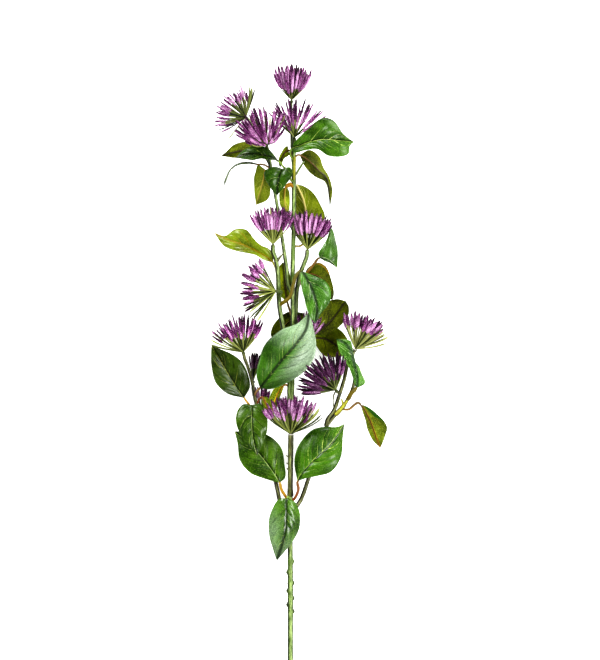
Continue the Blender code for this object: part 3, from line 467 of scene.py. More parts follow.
# How each kind of leaf looks above and below
LEAF_LOOKS = {
    "mid": TopLook((26, 53, 0), (65, 96, 9), (104, 142, 46), (12, 30, 2), (190, 206, 120), 0.75),
    "wet": TopLook((26, 60, 1), (60, 102, 18), (112, 150, 84), (8, 28, 2), (196, 210, 146), 0.5, coat=0.35,
        rough=0.33),
    "sheen": TopLook((24, 54, 1), (52, 92, 10), (84, 122, 40), (6, 24, 2), (176, 194, 110), 0.75, coat=0.3,
        soft=0.3, rough=0.36),
    "silky": TopLook((26, 53, 2), (60, 94, 16), (104, 138, 60), (10, 28, 2), (176, 190, 90), 0.5, coat=0.5,
        soft=0.22, rough=0.33),
    "fresh": TopLook((26, 58, 1), (59, 97, 12), (102, 138, 48), (12, 36, 2), (200, 214, 120), 0.9),
    "cool": TopLook((28, 56, 6), (58, 92, 26), (112, 146, 80), (10, 32, 6), (192, 208, 156), 0.6,
        coat=0.25, rough=0.3),
    "deep": TopLook((18, 42, 0), (44, 76, 6), (80, 112, 32), (8, 22, 0), (160, 176, 90), 0.6),
    "dark": TopLook((20, 33, 0), (48, 70, 8), (72, 92, 30), (8, 18, 0), (176, 180, 88), 0.8),
    "light": TopLook((58, 70, 2), (108, 126, 20), (152, 168, 62), (112, 92, 6), (196, 168, 50), 0.8),
    "lime": TopLook((54, 92, 10), (88, 128, 18), (150, 178, 50), (60, 80, 10), (224, 224, 140), 0.6),
    "olive": TopLook((14, 60, 10), (34, 96, 22), (78, 132, 48), (12, 46, 10), (150, 180, 100), 0.5),
    "pale_olive": TopLook((30, 76, 14), (56, 108, 28), (106, 148, 60), (36, 64, 14), (176, 190, 100), 0.5),
    "brown_olive": TopLook((14, 58, 10), (30, 88, 20), (72, 124, 44), (14, 44, 10), (150, 170, 90), 0.5),
}
UNDER_LOOKS = {
    "olive": UnderLook((48, 56, 0), (98, 110, 4), (146, 152, 40), (28, 24, 2), 0.85),
    "pale_olive": UnderLook((84, 98, 4), (122, 138, 24), (172, 178, 70), (196, 184, 100), 0.5),
    "brown_olive": UnderLook((40, 46, 0), (76, 86, 2), (120, 128, 26), (22, 18, 0), 0.85),
    "cream_olive": UnderLook((62, 76, 0), (102, 116, 8), (152, 156, 46), (220, 208, 140), 0.85),
    "lime": UnderLook((66, 82, 0), (110, 126, 12), (180, 192, 84), (176, 120, 30), 0.7),
}
LEAF_LOOKS["cream_olive"] = LEAF_LOOKS["olive"]._replace(veins=0.4)

# A leaf's stalk at the stem and along the midrib, and a bloom's urn and ring
STALK_LOOKS = {
    "green": ((104, 124, 44), (120, 146, 56)),
    "ochre": ((160, 118, 30), (140, 126, 44)),
    "red": ((118, 66, 34), (106, 82, 34)),
    "brown": ((124, 92, 30), (44, 32, 8)),
    "cream": ((150, 130, 60), (214, 196, 120)),
    "olive": ((124, 120, 16), (150, 144, 30)),
    "deep_olive": ((96, 84, 8), (72, 72, 8)),
    "urn": ((66, 74, 40), (90, 100, 52)),
    "ring": ((160, 158, 150), (140, 138, 130)),
}

# Stems: the streaks' two colours, the dark of the painted shade on the sides and of the specks, and which way
# the painted light on the middle leans
STEM_LOOKS = {
    "main": ((72, 94, 32), (152, 172, 108), (22, 32, 6), 0.6),
    "green": ((70, 88, 34), (138, 154, 100), (22, 28, 8), 0.8),
    "dark": ((54, 56, 20), (126, 128, 82), (16, 16, 4), 0.9),
    "bark": ((54, 52, 18), (124, 132, 78), (22, 16, 4), -0.9),
    "ochre": ((118, 116, 14), (174, 176, 56), (70, 62, 8), 0.0),
}

# A spike's filament, from dark to pale
FILAMENT_LOOKS = {
    "green": ((148, 156, 86), (50, 62, 14)),
    "dark": ((116, 126, 68), (24, 32, 6)),
    "pale": ((158, 162, 100), (52, 62, 16)),
}


def place(point):
    """Turns a laid-out place in millimetres into one over the table."""
    x, y, height = point
    return Vector((x - MIDDLE[0], y - MIDDLE[1], STEM_RADIUS + RISE * (y - CUT_END) + height))


def places(points):
    return [place(point) for point in points]


def compass(degrees, rise=0.0):
    """Gives a direction over the table, in degrees from +y towards +x."""
    return Vector((math.sin(math.radians(degrees)), math.cos(math.radians(degrees)), rise))


def smooth(points):
    """Rounds a row of points into a dense line through all of them."""
    points = [Vector(point) for point in points]
    ends = [2 * points[0] - points[1]] + points + [2 * points[-1] - points[-2]]
    line = []
    for before, start, end, after in zip(ends, ends[1:], ends[2:], ends[3:]):
        span = (end - start).length
        ahead = (end - start).normalized()
        leave = (ahead + (start - before).normalized()) * span / 2
        arrive = (ahead + (after - end).normalized()) * span / 2
        for step in range(STEPS):
            t = step / STEPS
            line.append((2 * t ** 3 - 3 * t ** 2 + 1) * start + (t ** 3 - 2 * t ** 2 + t) * leave
                        + (3 * t ** 2 - 2 * t ** 3) * end + (t ** 3 - t ** 2) * arrive)
    line.append(points[-1])
    return line


def length_of(line):
    return sum((end - start).length for start, end in zip(line, line[1:]))


def even(count, endpoint=True):
    """Gives even shares from 0 to 1."""
    return np.linspace(0.0, 1.0, count, endpoint=endpoint)


def angles_round(sides):
    return np.linspace(0.0, 2 * math.pi, sides, endpoint=False)


def spread(line, shares):
    """Gives the points that lie at shares of the line's length, as an array."""
    points = np.array([tuple(point) for point in line])
    lengths = np.concatenate([[0.0], np.cumsum(np.linalg.norm(np.diff(points, axis=0), axis=1))])
    distances = np.asarray(shares) * lengths[-1]
    return np.stack([np.interp(distances, lengths, points[:, axis]) for axis in range(3)], axis=1)


def radius_at(stem, share):
    first, last = stem.radii
    return first + (last - first) * share


def grow_from(parent, axis_point, next_point, radius, back):
    """Starts a stalk on its parent's axis, a little back from where it leaves, and returns that way out."""
    line = stem_line(parent)
    number = min(range(1, len(line) - 1), key=lambda number: (line[number] - axis_point).length)
    root = line[number]
    along = (line[number + 1] - line[number - 1]).normalized()
    outward = next_point - root
    outward = (outward - outward.dot(along) * along).normalized()
    start = root + outward * (radius_at(STEMS[parent], number / len(line)) + GAP + radius / 2)
    return [root - along * back, start]


@cache
def stem_line(name):
    """Works out a stem's smooth way, from its parent's axis into the base of its bloom."""
    stem = STEMS[name]
    way = places(stem.way)
    ends = []
    if stem.bloom:
        bloom = BLOOMS[stem.bloom]
        ends = [place(bloom.base) - bloom.axis * NECK, place(bloom.base) + bloom.axis]
    if stem.parent:
        way[:1] = grow_from(stem.parent, way[0], (way + ends)[1], stem.radii[0], STEM_JOINT)
    return smooth(way + ends)


def rings_round(middle, radius, side=None):
    """Lays rings of points round a row of places, without twisting. The radius may differ all round."""
    heading = np.gradient(middle, axis=0)
    heading /= np.linalg.norm(heading, axis=1, keepdims=True)
    if side is None:
        side = np.array([0.0, 0.0, 1.0]) if abs(heading[0, 2]) < 0.9 else np.array([1.0, 0.0, 0.0])
    sides = []
    for along in heading:
        side = side - side.dot(along) * along
        side = side / np.linalg.norm(side)
        sides.append(side)
    sides = np.array(sides)
    others = np.cross(heading, sides)
    angles = angles_round(radius.shape[1])[None, :, None]
    spokes = np.cos(angles) * sides[:, None] + np.sin(angles) * others[:, None]
    return middle[:, None] + spokes * radius[:, :, None]


def tube_map(rows, sides, length):
    """Gives a tube's map: once round, and along its length."""
    values = np.zeros((rows, sides + 1, 2))
    values[:, :, 0] = even(sides + 1)[None, :]
    values[:, :, 1] = np.linspace(0.0, length, rows)[:, None]
    return values


def add_object(name, data):
    made = bpy.data.objects.new(name, data)
    bpy.context.scene.collection.objects.link(made)
    return made


class Form:
    """Gathers skins into one mesh, with two maps that follow them."""

    def __init__(self):
        self.points = []
        self.faces = []
        self.kinds = []
        self.maps = ([], [])
        self.count = 0

    def add_grid(self, grid, kind, first_map, second_map=None, closed=False):
        """Adds a skin over rows and columns of points. A closed skin joins its last column to its first."""
        rows, columns = grid.shape[:2]
        row, column = np.meshgrid(np.arange(rows - 1), np.arange(columns if closed else columns - 1),
                                  indexing="ij")
        row, column = row.ravel(), column.ravel()
        corners = [(row, column), (row, column + 1), (row + 1, column + 1), (row + 1, column)]
        self.faces += np.stack([self.count + r * columns + c % columns for r, c in corners], axis=1).tolist()
        for store, values in zip(self.maps, (first_map, first_map if second_map is None else second_map)):
            store.append(np.stack([values[r, c] for r, c in corners], axis=1).reshape(-1, 2))
        self.kinds += [kind] * len(row)
        self.points.append(grid.reshape(-1, 3))
        self.count += rows * columns

    def add_cap(self, ring, kind, value):
        """Closes a ring of points with one flat face."""
        self.faces.append(list(ring))
        self.kinds.append(kind)
        for store in self.maps:
            store.append(np.tile(value, (len(ring), 1)))

    def add_tube(self, middle, radius, kind, values, side=None):
        """Adds a closed skin round a row of places, with flat caps. The radius is one number for each place,
        or one for each point round it."""
        rows, sides = len(middle), values.shape[1] - 1
        first, last = self.count, self.count + (rows - 1) * sides
        radius = np.broadcast_to(radius.reshape(rows, -1), (rows, sides))
        self.add_grid(rings_round(middle, radius, side), kind, values, closed=True)
        self.add_cap(range(first + sides - 1, first - 1, -1), kind, values[0, 0])
        self.add_cap(range(last, last + sides), kind, values[-1, 0])

    def finish(self, name, materials, map_names):
        """Makes the mesh piece, which rides with the plant."""
        mesh = bpy.data.meshes.new(name)
        points = np.concatenate(self.points)
        points[:, 2] = np.maximum(points[:, 2], ABOVE_FLOOR)
        mesh.from_pydata((points * MM).tolist(), [], self.faces)
        mesh.polygons.foreach_set("material_index", self.kinds)
        mesh.polygons.foreach_set("use_smooth", [True] * len(self.faces))
        for map_name, store in zip(map_names, self.maps):
            layer = mesh.uv_layers.new(name=map_name)
            layer.uv.foreach_set("vector", np.concatenate(store).astype(np.float32).ravel())
        for material in materials:
            mesh.materials.append(material)
        mesh.update()
        piece = add_object(name, mesh)
        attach(piece, "root")
        return piece


class Value:
    """What a node gives out. Values are added, subtracted and multiplied like plain numbers."""

    def __init__(self, tree, socket):
        self.tree = tree
        self.socket = socket

    def calc(self, operation, other=0.0):
        return add_node(self.tree, "ShaderNodeMath", {0: self, 1: other}, operation=operation)

    def __add__(self, other):
        return self.calc("ADD", other)

    def __sub__(self, other):
        return self.calc("SUBTRACT", other)

    def __mul__(self, other):
        return self.calc("MULTIPLY", other)

    def over(self, other):
        """Gives the greater of two values."""
        return self.calc("MAXIMUM", other)

    def off(self, middle):
        """Gives how far it is from a number."""
        return (self - middle).calc("ABSOLUTE")

    def fade(self, low, high, at_low, at_high):
        """Turns smoothly from one number to another between two limits."""
        limits = {"From Min": low, "From Max": high, "To Min": at_low, "To Max": at_high}
        return add_node(self.tree, "ShaderNodeMapRange", {"Value": self} | limits,
                        interpolation_type="SMOOTHSTEP")


def put(value, socket):
    """Sets a socket to a number or colour, or links it to what another node gives."""
    if isinstance(value, Value):
        value.tree.links.new(value.socket, socket)
    else:
        socket.default_value = value


def add_node(tree, kind, inputs, output=0, **settings):
    """Adds a node, with numbers, colours or other nodes' values on its sockets, and gives its value."""
    made = tree.nodes.new(kind)
    for name, value in settings.items():
        setattr(made, name, value)
    for name, value in inputs.items():
        put(value, made.inputs[name])
    return Value(tree, made.outputs[output])


def tint(colour):
    """Turns a colour as it looks, in 0 to 255, into the shader's scale."""
    parts = [value / 255 for value in colour]
    return (*[part / 12.92 if part <= 0.04045 else ((part + 0.055) / 1.055) ** 2.4 for part in parts], 1.0)


def shaded(look, shade):
    """Gives a leaf's look with all its colours made lighter or darker."""
    return look._make([tone * shade for tone in part] if isinstance(part, tuple) else part for part in look)


class Paint:
    """A material in the making, with even values on its shader's sockets."""

    def __init__(self, name, **sockets):
        self.material = bpy.data.materials.new(name)
        self.material.use_nodes = True
        self.tree = self.material.node_tree
        self.fill(**sockets)

    def fill(self, **sockets):
        """Puts values on the shader's sockets."""
        shader = self.tree.nodes["Principled BSDF"]
        for name, value in sockets.items():
            put(value, shader.inputs[name.replace("_", " ")])

    @cached_property
    def where(self):
        """A point's place in the plant."""
        return add_node(self.tree, "ShaderNodeTexCoord", {}, "Object")

    def maps(self, name):
        """Gives the two values of a mesh's map."""
        first = add_node(self.tree, "ShaderNodeSeparateXYZ",
                         {0: add_node(self.tree, "ShaderNodeUVMap", {}, uv_map=name)})
        return first, Value(self.tree, first.socket.node.outputs[1])

    def noise(self, scale, detail=2.0, rough=0.5, where=None):
        return add_node(self.tree, "ShaderNodeTexNoise", {"Vector": where or self.where, "Scale": scale,
                                                          "Detail": detail, "Roughness": rough})

    def mix(self, factor, first, second):
        """Blends two colours. A plain one is given as it looks, in 0 to 255."""
        first, second = (colour if isinstance(colour, Value) else tint(colour) for colour in (first, second))
        return add_node(self.tree, "ShaderNodeMix", {0: factor, 6: first, 7: second}, 2, data_type="RGBA")

    def finish(self, colour, height, distance, strength, **sockets):
        """Gives the shader its colour and fine relief, and returns the material."""
        bump = add_node(self.tree, "ShaderNodeBump", {"Height": height, "Distance": distance,
                                                      "Strength": strength})
        self.fill(Base_Color=colour, Normal=bump, **sockets)
        return self.material


def vein_lines(paint, width):
    """Gives the strength of the side veins, their count along the leaf and the distance from the midrib."""
    phase, distance = paint.maps("veins")
    turn = phase + (paint.noise(160.0) - 0.5) * 0.34 + 0.5
    own = add_node(paint.tree, "ShaderNodeTexWhiteNoise", {"W": turn.calc("FLOOR")}, noise_dimensions="1D")
    veins = turn.calc("FRACT").off(0.5).fade(width * 0.2, width, 1.0, 0.0) * own.fade(0.1, 0.7, 0.15, 1.0)
    return veins, turn, distance


def leaf_top_material(name, look, line, painted_sheen):
    """The glossy upper side: deep green with painted shade in its creases and midrib valley, and pale side
    veins.
    Some have a pale line by the midrib, partly its own colour and partly a painted highlight, and two have a
    painted pale sheen over the right half and tip."""
    paint = Paint(name, Coat_Weight=look.coat, Coat_Roughness=look.soft, Specular_IOR_Level=0.15)
    veins, turn, distance = vein_lines(paint, 0.055)
    across, along = paint.maps("blade")
    fine = paint.noise(900.0, 3.0, 0.6)
    patchy = paint.noise(140.0)
    uneven = paint.noise(260.0)
    colour = paint.mix(paint.noise(48.0, 3.0).fade(0.34, 0.66, 0.0, 1.0), look.deep, look.top)
    colour = paint.mix(fine.fade(0.42, 0.75, 0.0, 0.5), colour, look.light)
    # Painted sheen: a pale tone over the right half and the tip, where the gloss catches the light
    if painted_sheen:
        half = across.fade(0.48, 0.8, 0.0, 1.0) * along.fade(0.15, 0.55, 0.0, 1.0)
        painted_sheen_cover = half.over(along.fade(0.45, 0.8, 0.0, 0.85)) * fine.fade(0.36, 0.6, 0.6, 1.0) * painted_sheen
        colour = paint.mix(painted_sheen_cover, colour, PAINTED_SHEEN_TONE)
    # Painted shade: a dark band on one side of each side vein, where the quilted blade dips into a crease
    ahead = ((turn - 0.5) * QUILT_STEP + 0.5).calc("FRACT") - 0.5
    crease_shade = ahead.fade(-0.01, 0.02, 0.0, 1.0) * ahead.fade(0.03, 0.17, 1.0, 0.0)
    folds = crease_shade * distance.fade(9.0, 17.0, 0.8, 0.1) * patchy.fade(0.36, 0.6, 0.2, 1.0)
    # Painted shade along the midrib's valley
    valley = distance.fade(0.5, 2.6, 0.85, 0.0)
    pale = veins * uneven.fade(0.38, 0.58, 0.15, 1.0) * distance.fade(6.0, 15.0, 1.0, 0.08)
    # On the line's side the painted valley shade gives way to a pale line, partly the midrib's own colour and
    # partly a painted highlight
    if line != "dark":
        pale_side = across.fade(0.499, 0.501, float(line == "left"), float(line == "right"))
        valley = valley * pale_side.fade(0.0, 1.0, 1.0, 0.0)
        beside = distance.off(0.4).fade(0.08, 0.32, 0.8, 0.0) * pale_side
        pale = pale.over(beside * patchy.fade(0.36, 0.56, 0.1, 1.0))
    colour = paint.mix(folds.over(valley), colour, look.valley)
    colour = paint.mix(pale * look.veins, colour, look.vein)
    return paint.finish(colour, fine * 0.8 - veins * 0.8, 0.00035, 0.9,
                        Roughness=uneven.fade(0.3, 0.7, look.rough - 0.06, look.rough + 0.10))


def leaf_under_material(name, look, curl):
    """The matt lower side: olive, with darker raised veins and, on some, a band by the margin painted in the
    tone of a margin folded over.
    """
    paint = Paint(name, Roughness=0.65, Specular_IOR_Level=0.12)
    veins, _, distance = vein_lines(paint, 0.06)
    fine = paint.noise(800.0, 3.0, 0.6)
    colour = paint.mix(paint.noise(60.0, 3.0).fade(0.35, 0.65, 0.0, 1.0), look.deep, look.mid)
    colour = paint.mix(fine.fade(0.42, 0.75, 0.0, 0.5), colour, look.light)
    lines = (veins * distance.fade(4.0, 12.0, 0.9, 0.1)).over(distance.fade(0.4, 1.5, 0.9, 0.0))
    colour = paint.mix(lines * look.veins, colour, look.vein)
    if curl:
        across, along = paint.maps("blade")
        reach = along.off(curl["middle"]).fade(curl["half"] * 0.3, curl["half"], curl["width"], 0.0)
        colour = paint.mix((across * -2.0 + reach).fade(0.0, 0.04, 0.0, 1.0), colour, curl["tone"])
    return paint.finish(colour, fine * 0.6 + veins * 0.8, 0.00025, 0.8)


def stalk_material(name, first, second):
    """A leaf's stalk, which turns from one colour at the stem to another along the midrib."""
    paint = Paint(name, Roughness=0.42, Specular_IOR_Level=0.3)
    speckle = paint.noise(700.0, 3.0)
    colour = paint.mix(paint.maps("blade")[1].fade(0.1, 0.7, 0.0, 1.0), first, second)
    colour = paint.mix(speckle.fade(0.5, 0.75, 0.0, 0.7), colour, paint.mix(0.55, colour, SPECK_TONE))
    return paint.finish(colour, speckle, 0.0002, 0.6)


def stem_material(name, dull, pale, dark, lean):
    """A stem's skin: streaks along it, with painted light on its upper rib and painted shade on its sides,
    and darker scars.
    """
    paint = Paint(name, Roughness=0.42, Coat_Weight=0.1, Coat_Roughness=0.35, Specular_IOR_Level=0.3)
    round_it, along = paint.maps("skin")
    turn = round_it * (2 * math.pi)
    sideways = turn.calc("SINE")
    drawn_out = {0: turn.calc("COSINE") * 2.6, 1: sideways * 2.6, 2: along * 0.09}
    stretched = add_node(paint.tree, "ShaderNodeCombineXYZ", drawn_out)
    streaks = paint.noise(1.6, 4.0, 0.65, stretched)
    fine = paint.noise(900.0, 3.0, 0.6)
    colour = paint.mix(streaks.fade(0.40, 0.60, 0.0, 1.0), dull, pale)
    # Painted shade on the stem's sides and painted light on the middle between them, which lean moves to one
    # side
    sides = sideways.off(0.22 * lean) + streaks * -0.5
    colour = paint.mix(sides.fade(0.16, 0.44, 0.0, 0.95), colour, dark)
    colour = paint.mix(paint.noise(45.0).fade(0.48, 0.62, 0.0, 0.7), colour, dull)
    colour = paint.mix(fine.fade(0.56, 0.70, 0.0, 0.7), colour, dark)
    return paint.finish(colour, streaks * 0.8 + fine * 0.5, 0.0004, 0.9)


def filament_material(name, pale, green):
    """A spike's bare filament, each one a little different from pale to dark green."""
    paint = Paint(name, Roughness=0.5, Specular_IOR_Level=0.25)
    fine = paint.noise(1200.0)
    strand = (paint.maps("spike")[0] * 40.0).calc("SINE")
    colour = paint.mix(strand.fade(-0.35, 0.45, 0.0, 1.0), green, pale)
    colour = paint.mix(fine.fade(0.5, 0.72, 0.0, 0.6), colour, FILAMENT_SPECKS)
    return paint.finish(colour, fine, 0.00015, 0.5)


def club_material(name, bright, deep, fade):
    """A spike's beaded club: grains from deep purple to lilac, each club a little different, with painted
    shade that darkens the clubs on the bloom's lower side and lightens those on its upper side.
    """
    paint = Paint(name, Roughness=0.6, Specular_IOR_Level=0.2)
    own, along = paint.maps("spike")
    grains = add_node(paint.tree, "ShaderNodeTexVoronoi", {"Vector": paint.where, "Scale": 1000.0})
    fine = paint.noise(1500.0)
    # The spike map's own value is partly random and partly painted shade: lower-lying spikes darker, upper
    # ones lighter
    shade = fine * 0.75 + own * 0.5 - grains * 0.45
    shade = shade + along.fade(0.4, 0.95, 0.07 - deep, 0.07 - deep - fade)
    ramp = add_node(paint.tree, "ShaderNodeValToRGB", {0: shade})
    low, middle, high = (tint([value * bright for value in tone]) for tone in CLUB_TONES)
    points = ramp.socket.node.color_ramp.elements
    points[0].position, points[0].color = 0.18, low
    points[1].position, points[1].color = 0.62, high
    points.new(0.40).color = middle
    tip = along.fade(0.84, 0.97, 0.0, 0.85) * fine.fade(0.35, 0.6, 1.0, 0.5)
    return paint.finish(paint.mix(tip, ramp, CLUB_TIP), fine - grains * 1.2, 0.0006, 1.0)


def make_stem(name, stem):
    """Builds one stem: a fine ribbed tube with a collar at its root, and knots on the main stem."""
    draw = np.random.default_rng(SEED + len(name) + int(stem.radii[0] * 100) + len(stem.way))
    line = stem_line(name)
    length = length_of(line)
    rows = max(12, int(length * STEM_ROWS * (MAIN_STEM_ROWS if name == "main_stem" else 1)))
    shares = even(rows)
    angles = angles_round(STEM_SIDES)[None, :]
    along = (shares * length)[:, None]
    radius = radius_at(stem, shares)[:, None] + RIB_HEIGHT * np.cos(STEM_RIBS * angles + along * RIB_TWIST)
    rough = draw.normal(0.0, 1.0, (rows, STEM_SIDES))
    rough = (rough + np.roll(rough, 1, 1) + np.roll(rough, -1, 1)) / 3
    radius = radius + STEM_ROUGH * rough
    if stem.parent:
        radius *= 1 + COLLAR_SWELL * np.exp(-(along / COLLAR_LENGTH) ** 2)
    else:
        for number, knot in enumerate(KNOTS):
            near = np.exp(-((along - (knot - CUT_END) * math.hypot(1.0, RISE)) / KNOT_HALF) ** 2)
            bud = np.clip(np.cos(angles - math.pi / 2 - math.pi * (number % 2)), 0, 1) ** 2
            radius += near * (KNOT_SWELL + KNOT_BUD * bud)
    form = Form()
    form.add_tube(spread(line, shares), radius, 0, tube_map(rows, STEM_SIDES, length))
    for number, twig in enumerate(stem.twigs, 1):
        way = smooth(places(twig.way))
        shares = even(max(6, int(length_of(way))))
        thick = np.interp(shares, [0.0, 0.08, 1.0], [twig.radii[0] * 0.85, *twig.radii])
        form.add_tube(spread(way, shares), thick, number, tube_map(len(shares), TWIG_SIDES, length_of(way)))
    looks = [stem.look] + [twig.look for twig in stem.twigs]
    materials = [stem_material("%s_skin_%d" % (name, number), *STEM_LOOKS[look])
                 for number, look in enumerate(looks)]
    piece = form.finish(name + "_skin", materials, ["skin"])
    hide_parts(name)


def edge_line(leaf, edge, lift, rib):
    """Gives one edge of a blade as a dense line from base to tip, lifted over the midrib."""
    flat = smooth([place((x, y, 0)) for x, y in (leaf.rib[0][:2], *edge, leaf.rib[-1][:2])])
    shares = even(len(flat))
    line = []
    for share, point, under in zip(shares, flat, spread(rib, shares)):
        rise = RISE * (point.y - under[1]) + lift * math.sin(math.pi * share)
        line.append(Vector((point.x, point.y, under[2] + rise)))
    return line


def leaf_lines(leaf):
    """Gives the smooth ways of a leaf's stalk, from the stem's axis, and of its midrib."""
    way = places(leaf.petiole)
    way[:1] = grow_from(leaf.parent, way[0], way[1], PETIOLE, LEAF_JOINT)
    line = smooth(way + places(leaf.rib))
    base = STEPS * len(way)
    return line[:base + 1], line[base:]


def normals_of(grid):
    """Gives the upward direction all over a grid of points."""
    up = np.cross(np.gradient(grid, axis=1), np.gradient(grid, axis=0))
    return up / np.maximum(np.linalg.norm(up, axis=2, keepdims=True), 1e-9)


def make_leaf(number, name, leaf):
    """Builds one leaf: a thin quilted blade with its midrib and stalk."""
    draw = random.Random(SEED * 7 + number)
    petiole, rib = leaf_lines(leaf)
    facing = -1.0 if leaf.look in UNDER_LOOKS else 1.0
    shares = np.linspace(0.004, 0.997, LEAF_ROWS)
    steps = np.linspace(-1.0, 1.0, 2 * HALF_COLUMNS + 1)
    out = np.abs(steps) * (FINE_COLUMNS + (1 - FINE_COLUMNS) * np.abs(steps))
    middle = spread(rib, shares)[:, None]
    left, right = (spread(edge_line(leaf, edge, lift, rib), shares)
                   for edge, lift in zip((leaf.left, leaf.right), leaf.lift))
    edges = np.where(steps[None, :, None] < 0, left[:, None], right[:, None])
    grid = middle + (edges - middle) * out[None, :, None]
    up = normals_of(grid)

    along = shares[:, None]
    out = out[None, :]
    width = np.linalg.norm(edges - middle, axis=2)
    distance = width * out
    side = np.where(steps < 0, 0.0, draw.uniform(0.3, 0.7))[None, :]
    phase = (along - VEIN_LEAN * out - VEIN_CURL * out ** 2) * length_of(rib) / VEIN_SPACING + side
    phase = phase + VEIN_UNEVEN * np.sin(4.1 * phase + draw.uniform(0.0, 6.0) + side * 5)
    small = np.clip(width / NARROW, 0.0, 1.0)
    camber = CAMBER * width * np.sin(math.pi * out)
    window = np.sin(math.pi * out ** 0.7) ** 0.8
    folds = np.abs(np.sin(math.pi * QUILT_STEP * phase)) ** 0.6 - 0.5
    quilt = QUILT * leaf.quilt * small * folds * window
    groove = -GROOVE * small * np.exp(-(distance / GROOVE_WIDTH) ** 2)
    waves = sum(np.sin(2 * math.pi * (rate * along + draw.random()) + np.where(steps < 0, 0.0, 2.1))
                for rate in WAVE_RATES)
    wave = EDGE_WAVE * small * waves * out ** 2 * np.sin(math.pi * along)
    grid = grid + up * (facing * (camber + quilt + groove) + wave)[:, :, None]
    up = normals_of(grid)

    blade_map = np.stack(np.broadcast_arrays(0.5 + 0.5 * np.sign(steps) * out, along), axis=2)
    vein_map = np.stack([phase, distance], axis=2)
    hidden = grid - up * BLADE / 2
    form = Form()
    form.add_grid(grid + up * BLADE / 2, 0 if facing > 0 else 1, blade_map, vein_map)
    form.add_grid(hidden[:, ::-1], 1 if facing > 0 else 0, blade_map[:, ::-1], vein_map[:, ::-1])
    rows, columns = grid.shape[:2]
    loop = [(r, 0) for r in range(rows)] + [(rows - 1, c) for c in range(1, columns)]
    loop += [(r, columns - 1) for r in range(rows - 2, -1, -1)] + [(0, c) for c in range(columns - 2, 0, -1)]
    pairs = list(zip(loop, loop[1:] + loop[:1]))
    for start, end in pairs:
        above, next_above = (r * columns + c for r, c in (start, end))
        below, next_below = ((rows + r + 1) * columns - 1 - c for r, c in (start, end))
        form.faces.append([above, below, next_below, next_above])
    form.kinds += [0] * len(loop)
    corners = np.array([[start, start, end, end] for start, end in pairs]).reshape(-1, 2)
    for store, values in zip(form.maps, (blade_map, vein_map)):
        store.append(values[corners[:, 0], corners[:, 1]])

    stalk_rows = max(8, int(length_of(petiole) / STALK_STEP))
    sink = RIB_SINK if facing < 0 else HIDDEN_RIB_SINK
    under = grid[:, HALF_COLUMNS] - up[:, HALF_COLUMNS] * facing * sink
    line = np.concatenate([spread(petiole, even(stalk_rows, endpoint=False)), under[1:-3:2]])
    base = stalk_rows / len(line)
    thick = np.interp(even(len(line)), [0.0, base * 0.9, base + 0.04, 1.0],
                      [leaf.stalk, leaf.stalk, RIB_START, RIB_END])
    form.add_tube(line, thick, 2, tube_map(len(line), STALK_SIDES, 1.0))
    top_look = shaded(LEAF_LOOKS[leaf.look], leaf.shade)
    under_look = shaded(UNDER_LOOKS.get(leaf.look, UNDER_LOOKS["olive"]), leaf.shade)
    materials = [leaf_top_material(name + "_top", top_look, leaf.line, leaf.painted_sheen),
                 leaf_under_material(name + "_under", under_look, leaf.curl),
                 stalk_material(name + "_stalk", *STALK_LOOKS[leaf.stalk_look])]
    piece = form.finish(name + "_blade", materials, ["blade", "veins"])
    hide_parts(name)


def spike_directions(bloom, draw):
    """Spreads the spikes evenly over the fan, with a little disorder."""
    turn = bloom.axis.to_track_quat("Z", "Y")
    widest = 1.0 - math.cos(math.radians(bloom.fan))
    count = round(bloom.spikes * bloom.full)
    for number in range(count):
        cosine = 1.0 - widest * (number + 0.5) / count
        angle = number * GOLDEN_ANGLE + draw.uniform(-0.2, 0.2)
        sine = math.sqrt(1.0 - cosine * cosine)
        yield turn @ Vector((sine * math.cos(angle), sine * math.sin(angle), cosine)), (number + 0.5) / count


def clear_ways(direction, axis):
    """Offers a direction and then others near it, nearest first, leaning more to the bloom's axis."""
    yield direction
    hinge = direction.cross(axis)
    if hinge.length < 0.05:
        hinge = axis.orthogonal()
    for lean in range(6, 61, 6):
        for twist in (0, 15, -15, 30, -30):
            turned = Matrix.Rotation(math.radians(lean), 3, hinge) @ direction
            yield Matrix.Rotation(math.radians(twist), 3, axis) @ turned


def sideways_of(direction, bloom):
    """Gives the part of a direction that leads away from its bloom's axis."""
    return direction - direction.dot(bloom.axis) * bloom.axis


def spike_point(start, direction, length, bloom, share):
    """Gives a place along a spike, which bows away from its bloom's axis."""
    bow = sideways_of(direction, bloom) * bloom.bow * math.sin(math.pi * share)
    return start + direction * length * share + bow


def is_clear(start, direction, length, bloom, tree, others):
    """Tells whether a spike stays off the leaves, the stems and the other blooms' spikes."""
    steps = math.ceil(length / SPIKE_TEST_STEP)
    for step in range(2, steps + 1):
        share = step / steps
        radius = CLUB_RADIUS if share > bloom.club else FILAMENT_RADIUS * 2
        reach = (radius + SPIKE_CLEARANCE) * MM
        point = spike_point(start, direction, length, bloom, share) * MM
        if tree.find_nearest(point, reach)[0] is not None:
            return False
        if len(others.data) and others.tree.find(point)[2] < reach + CLUB_RADIUS * MM:
            return False
    return True


class Spots:
    """Places along the spikes that are already there."""

    def __init__(self):
        self.data = []
        self.tree = None

    def settle(self):
        self.tree = KDTree(len(self.data))
        for number, point in enumerate(self.data):
            self.tree.insert(point, number)
        self.tree.balance()


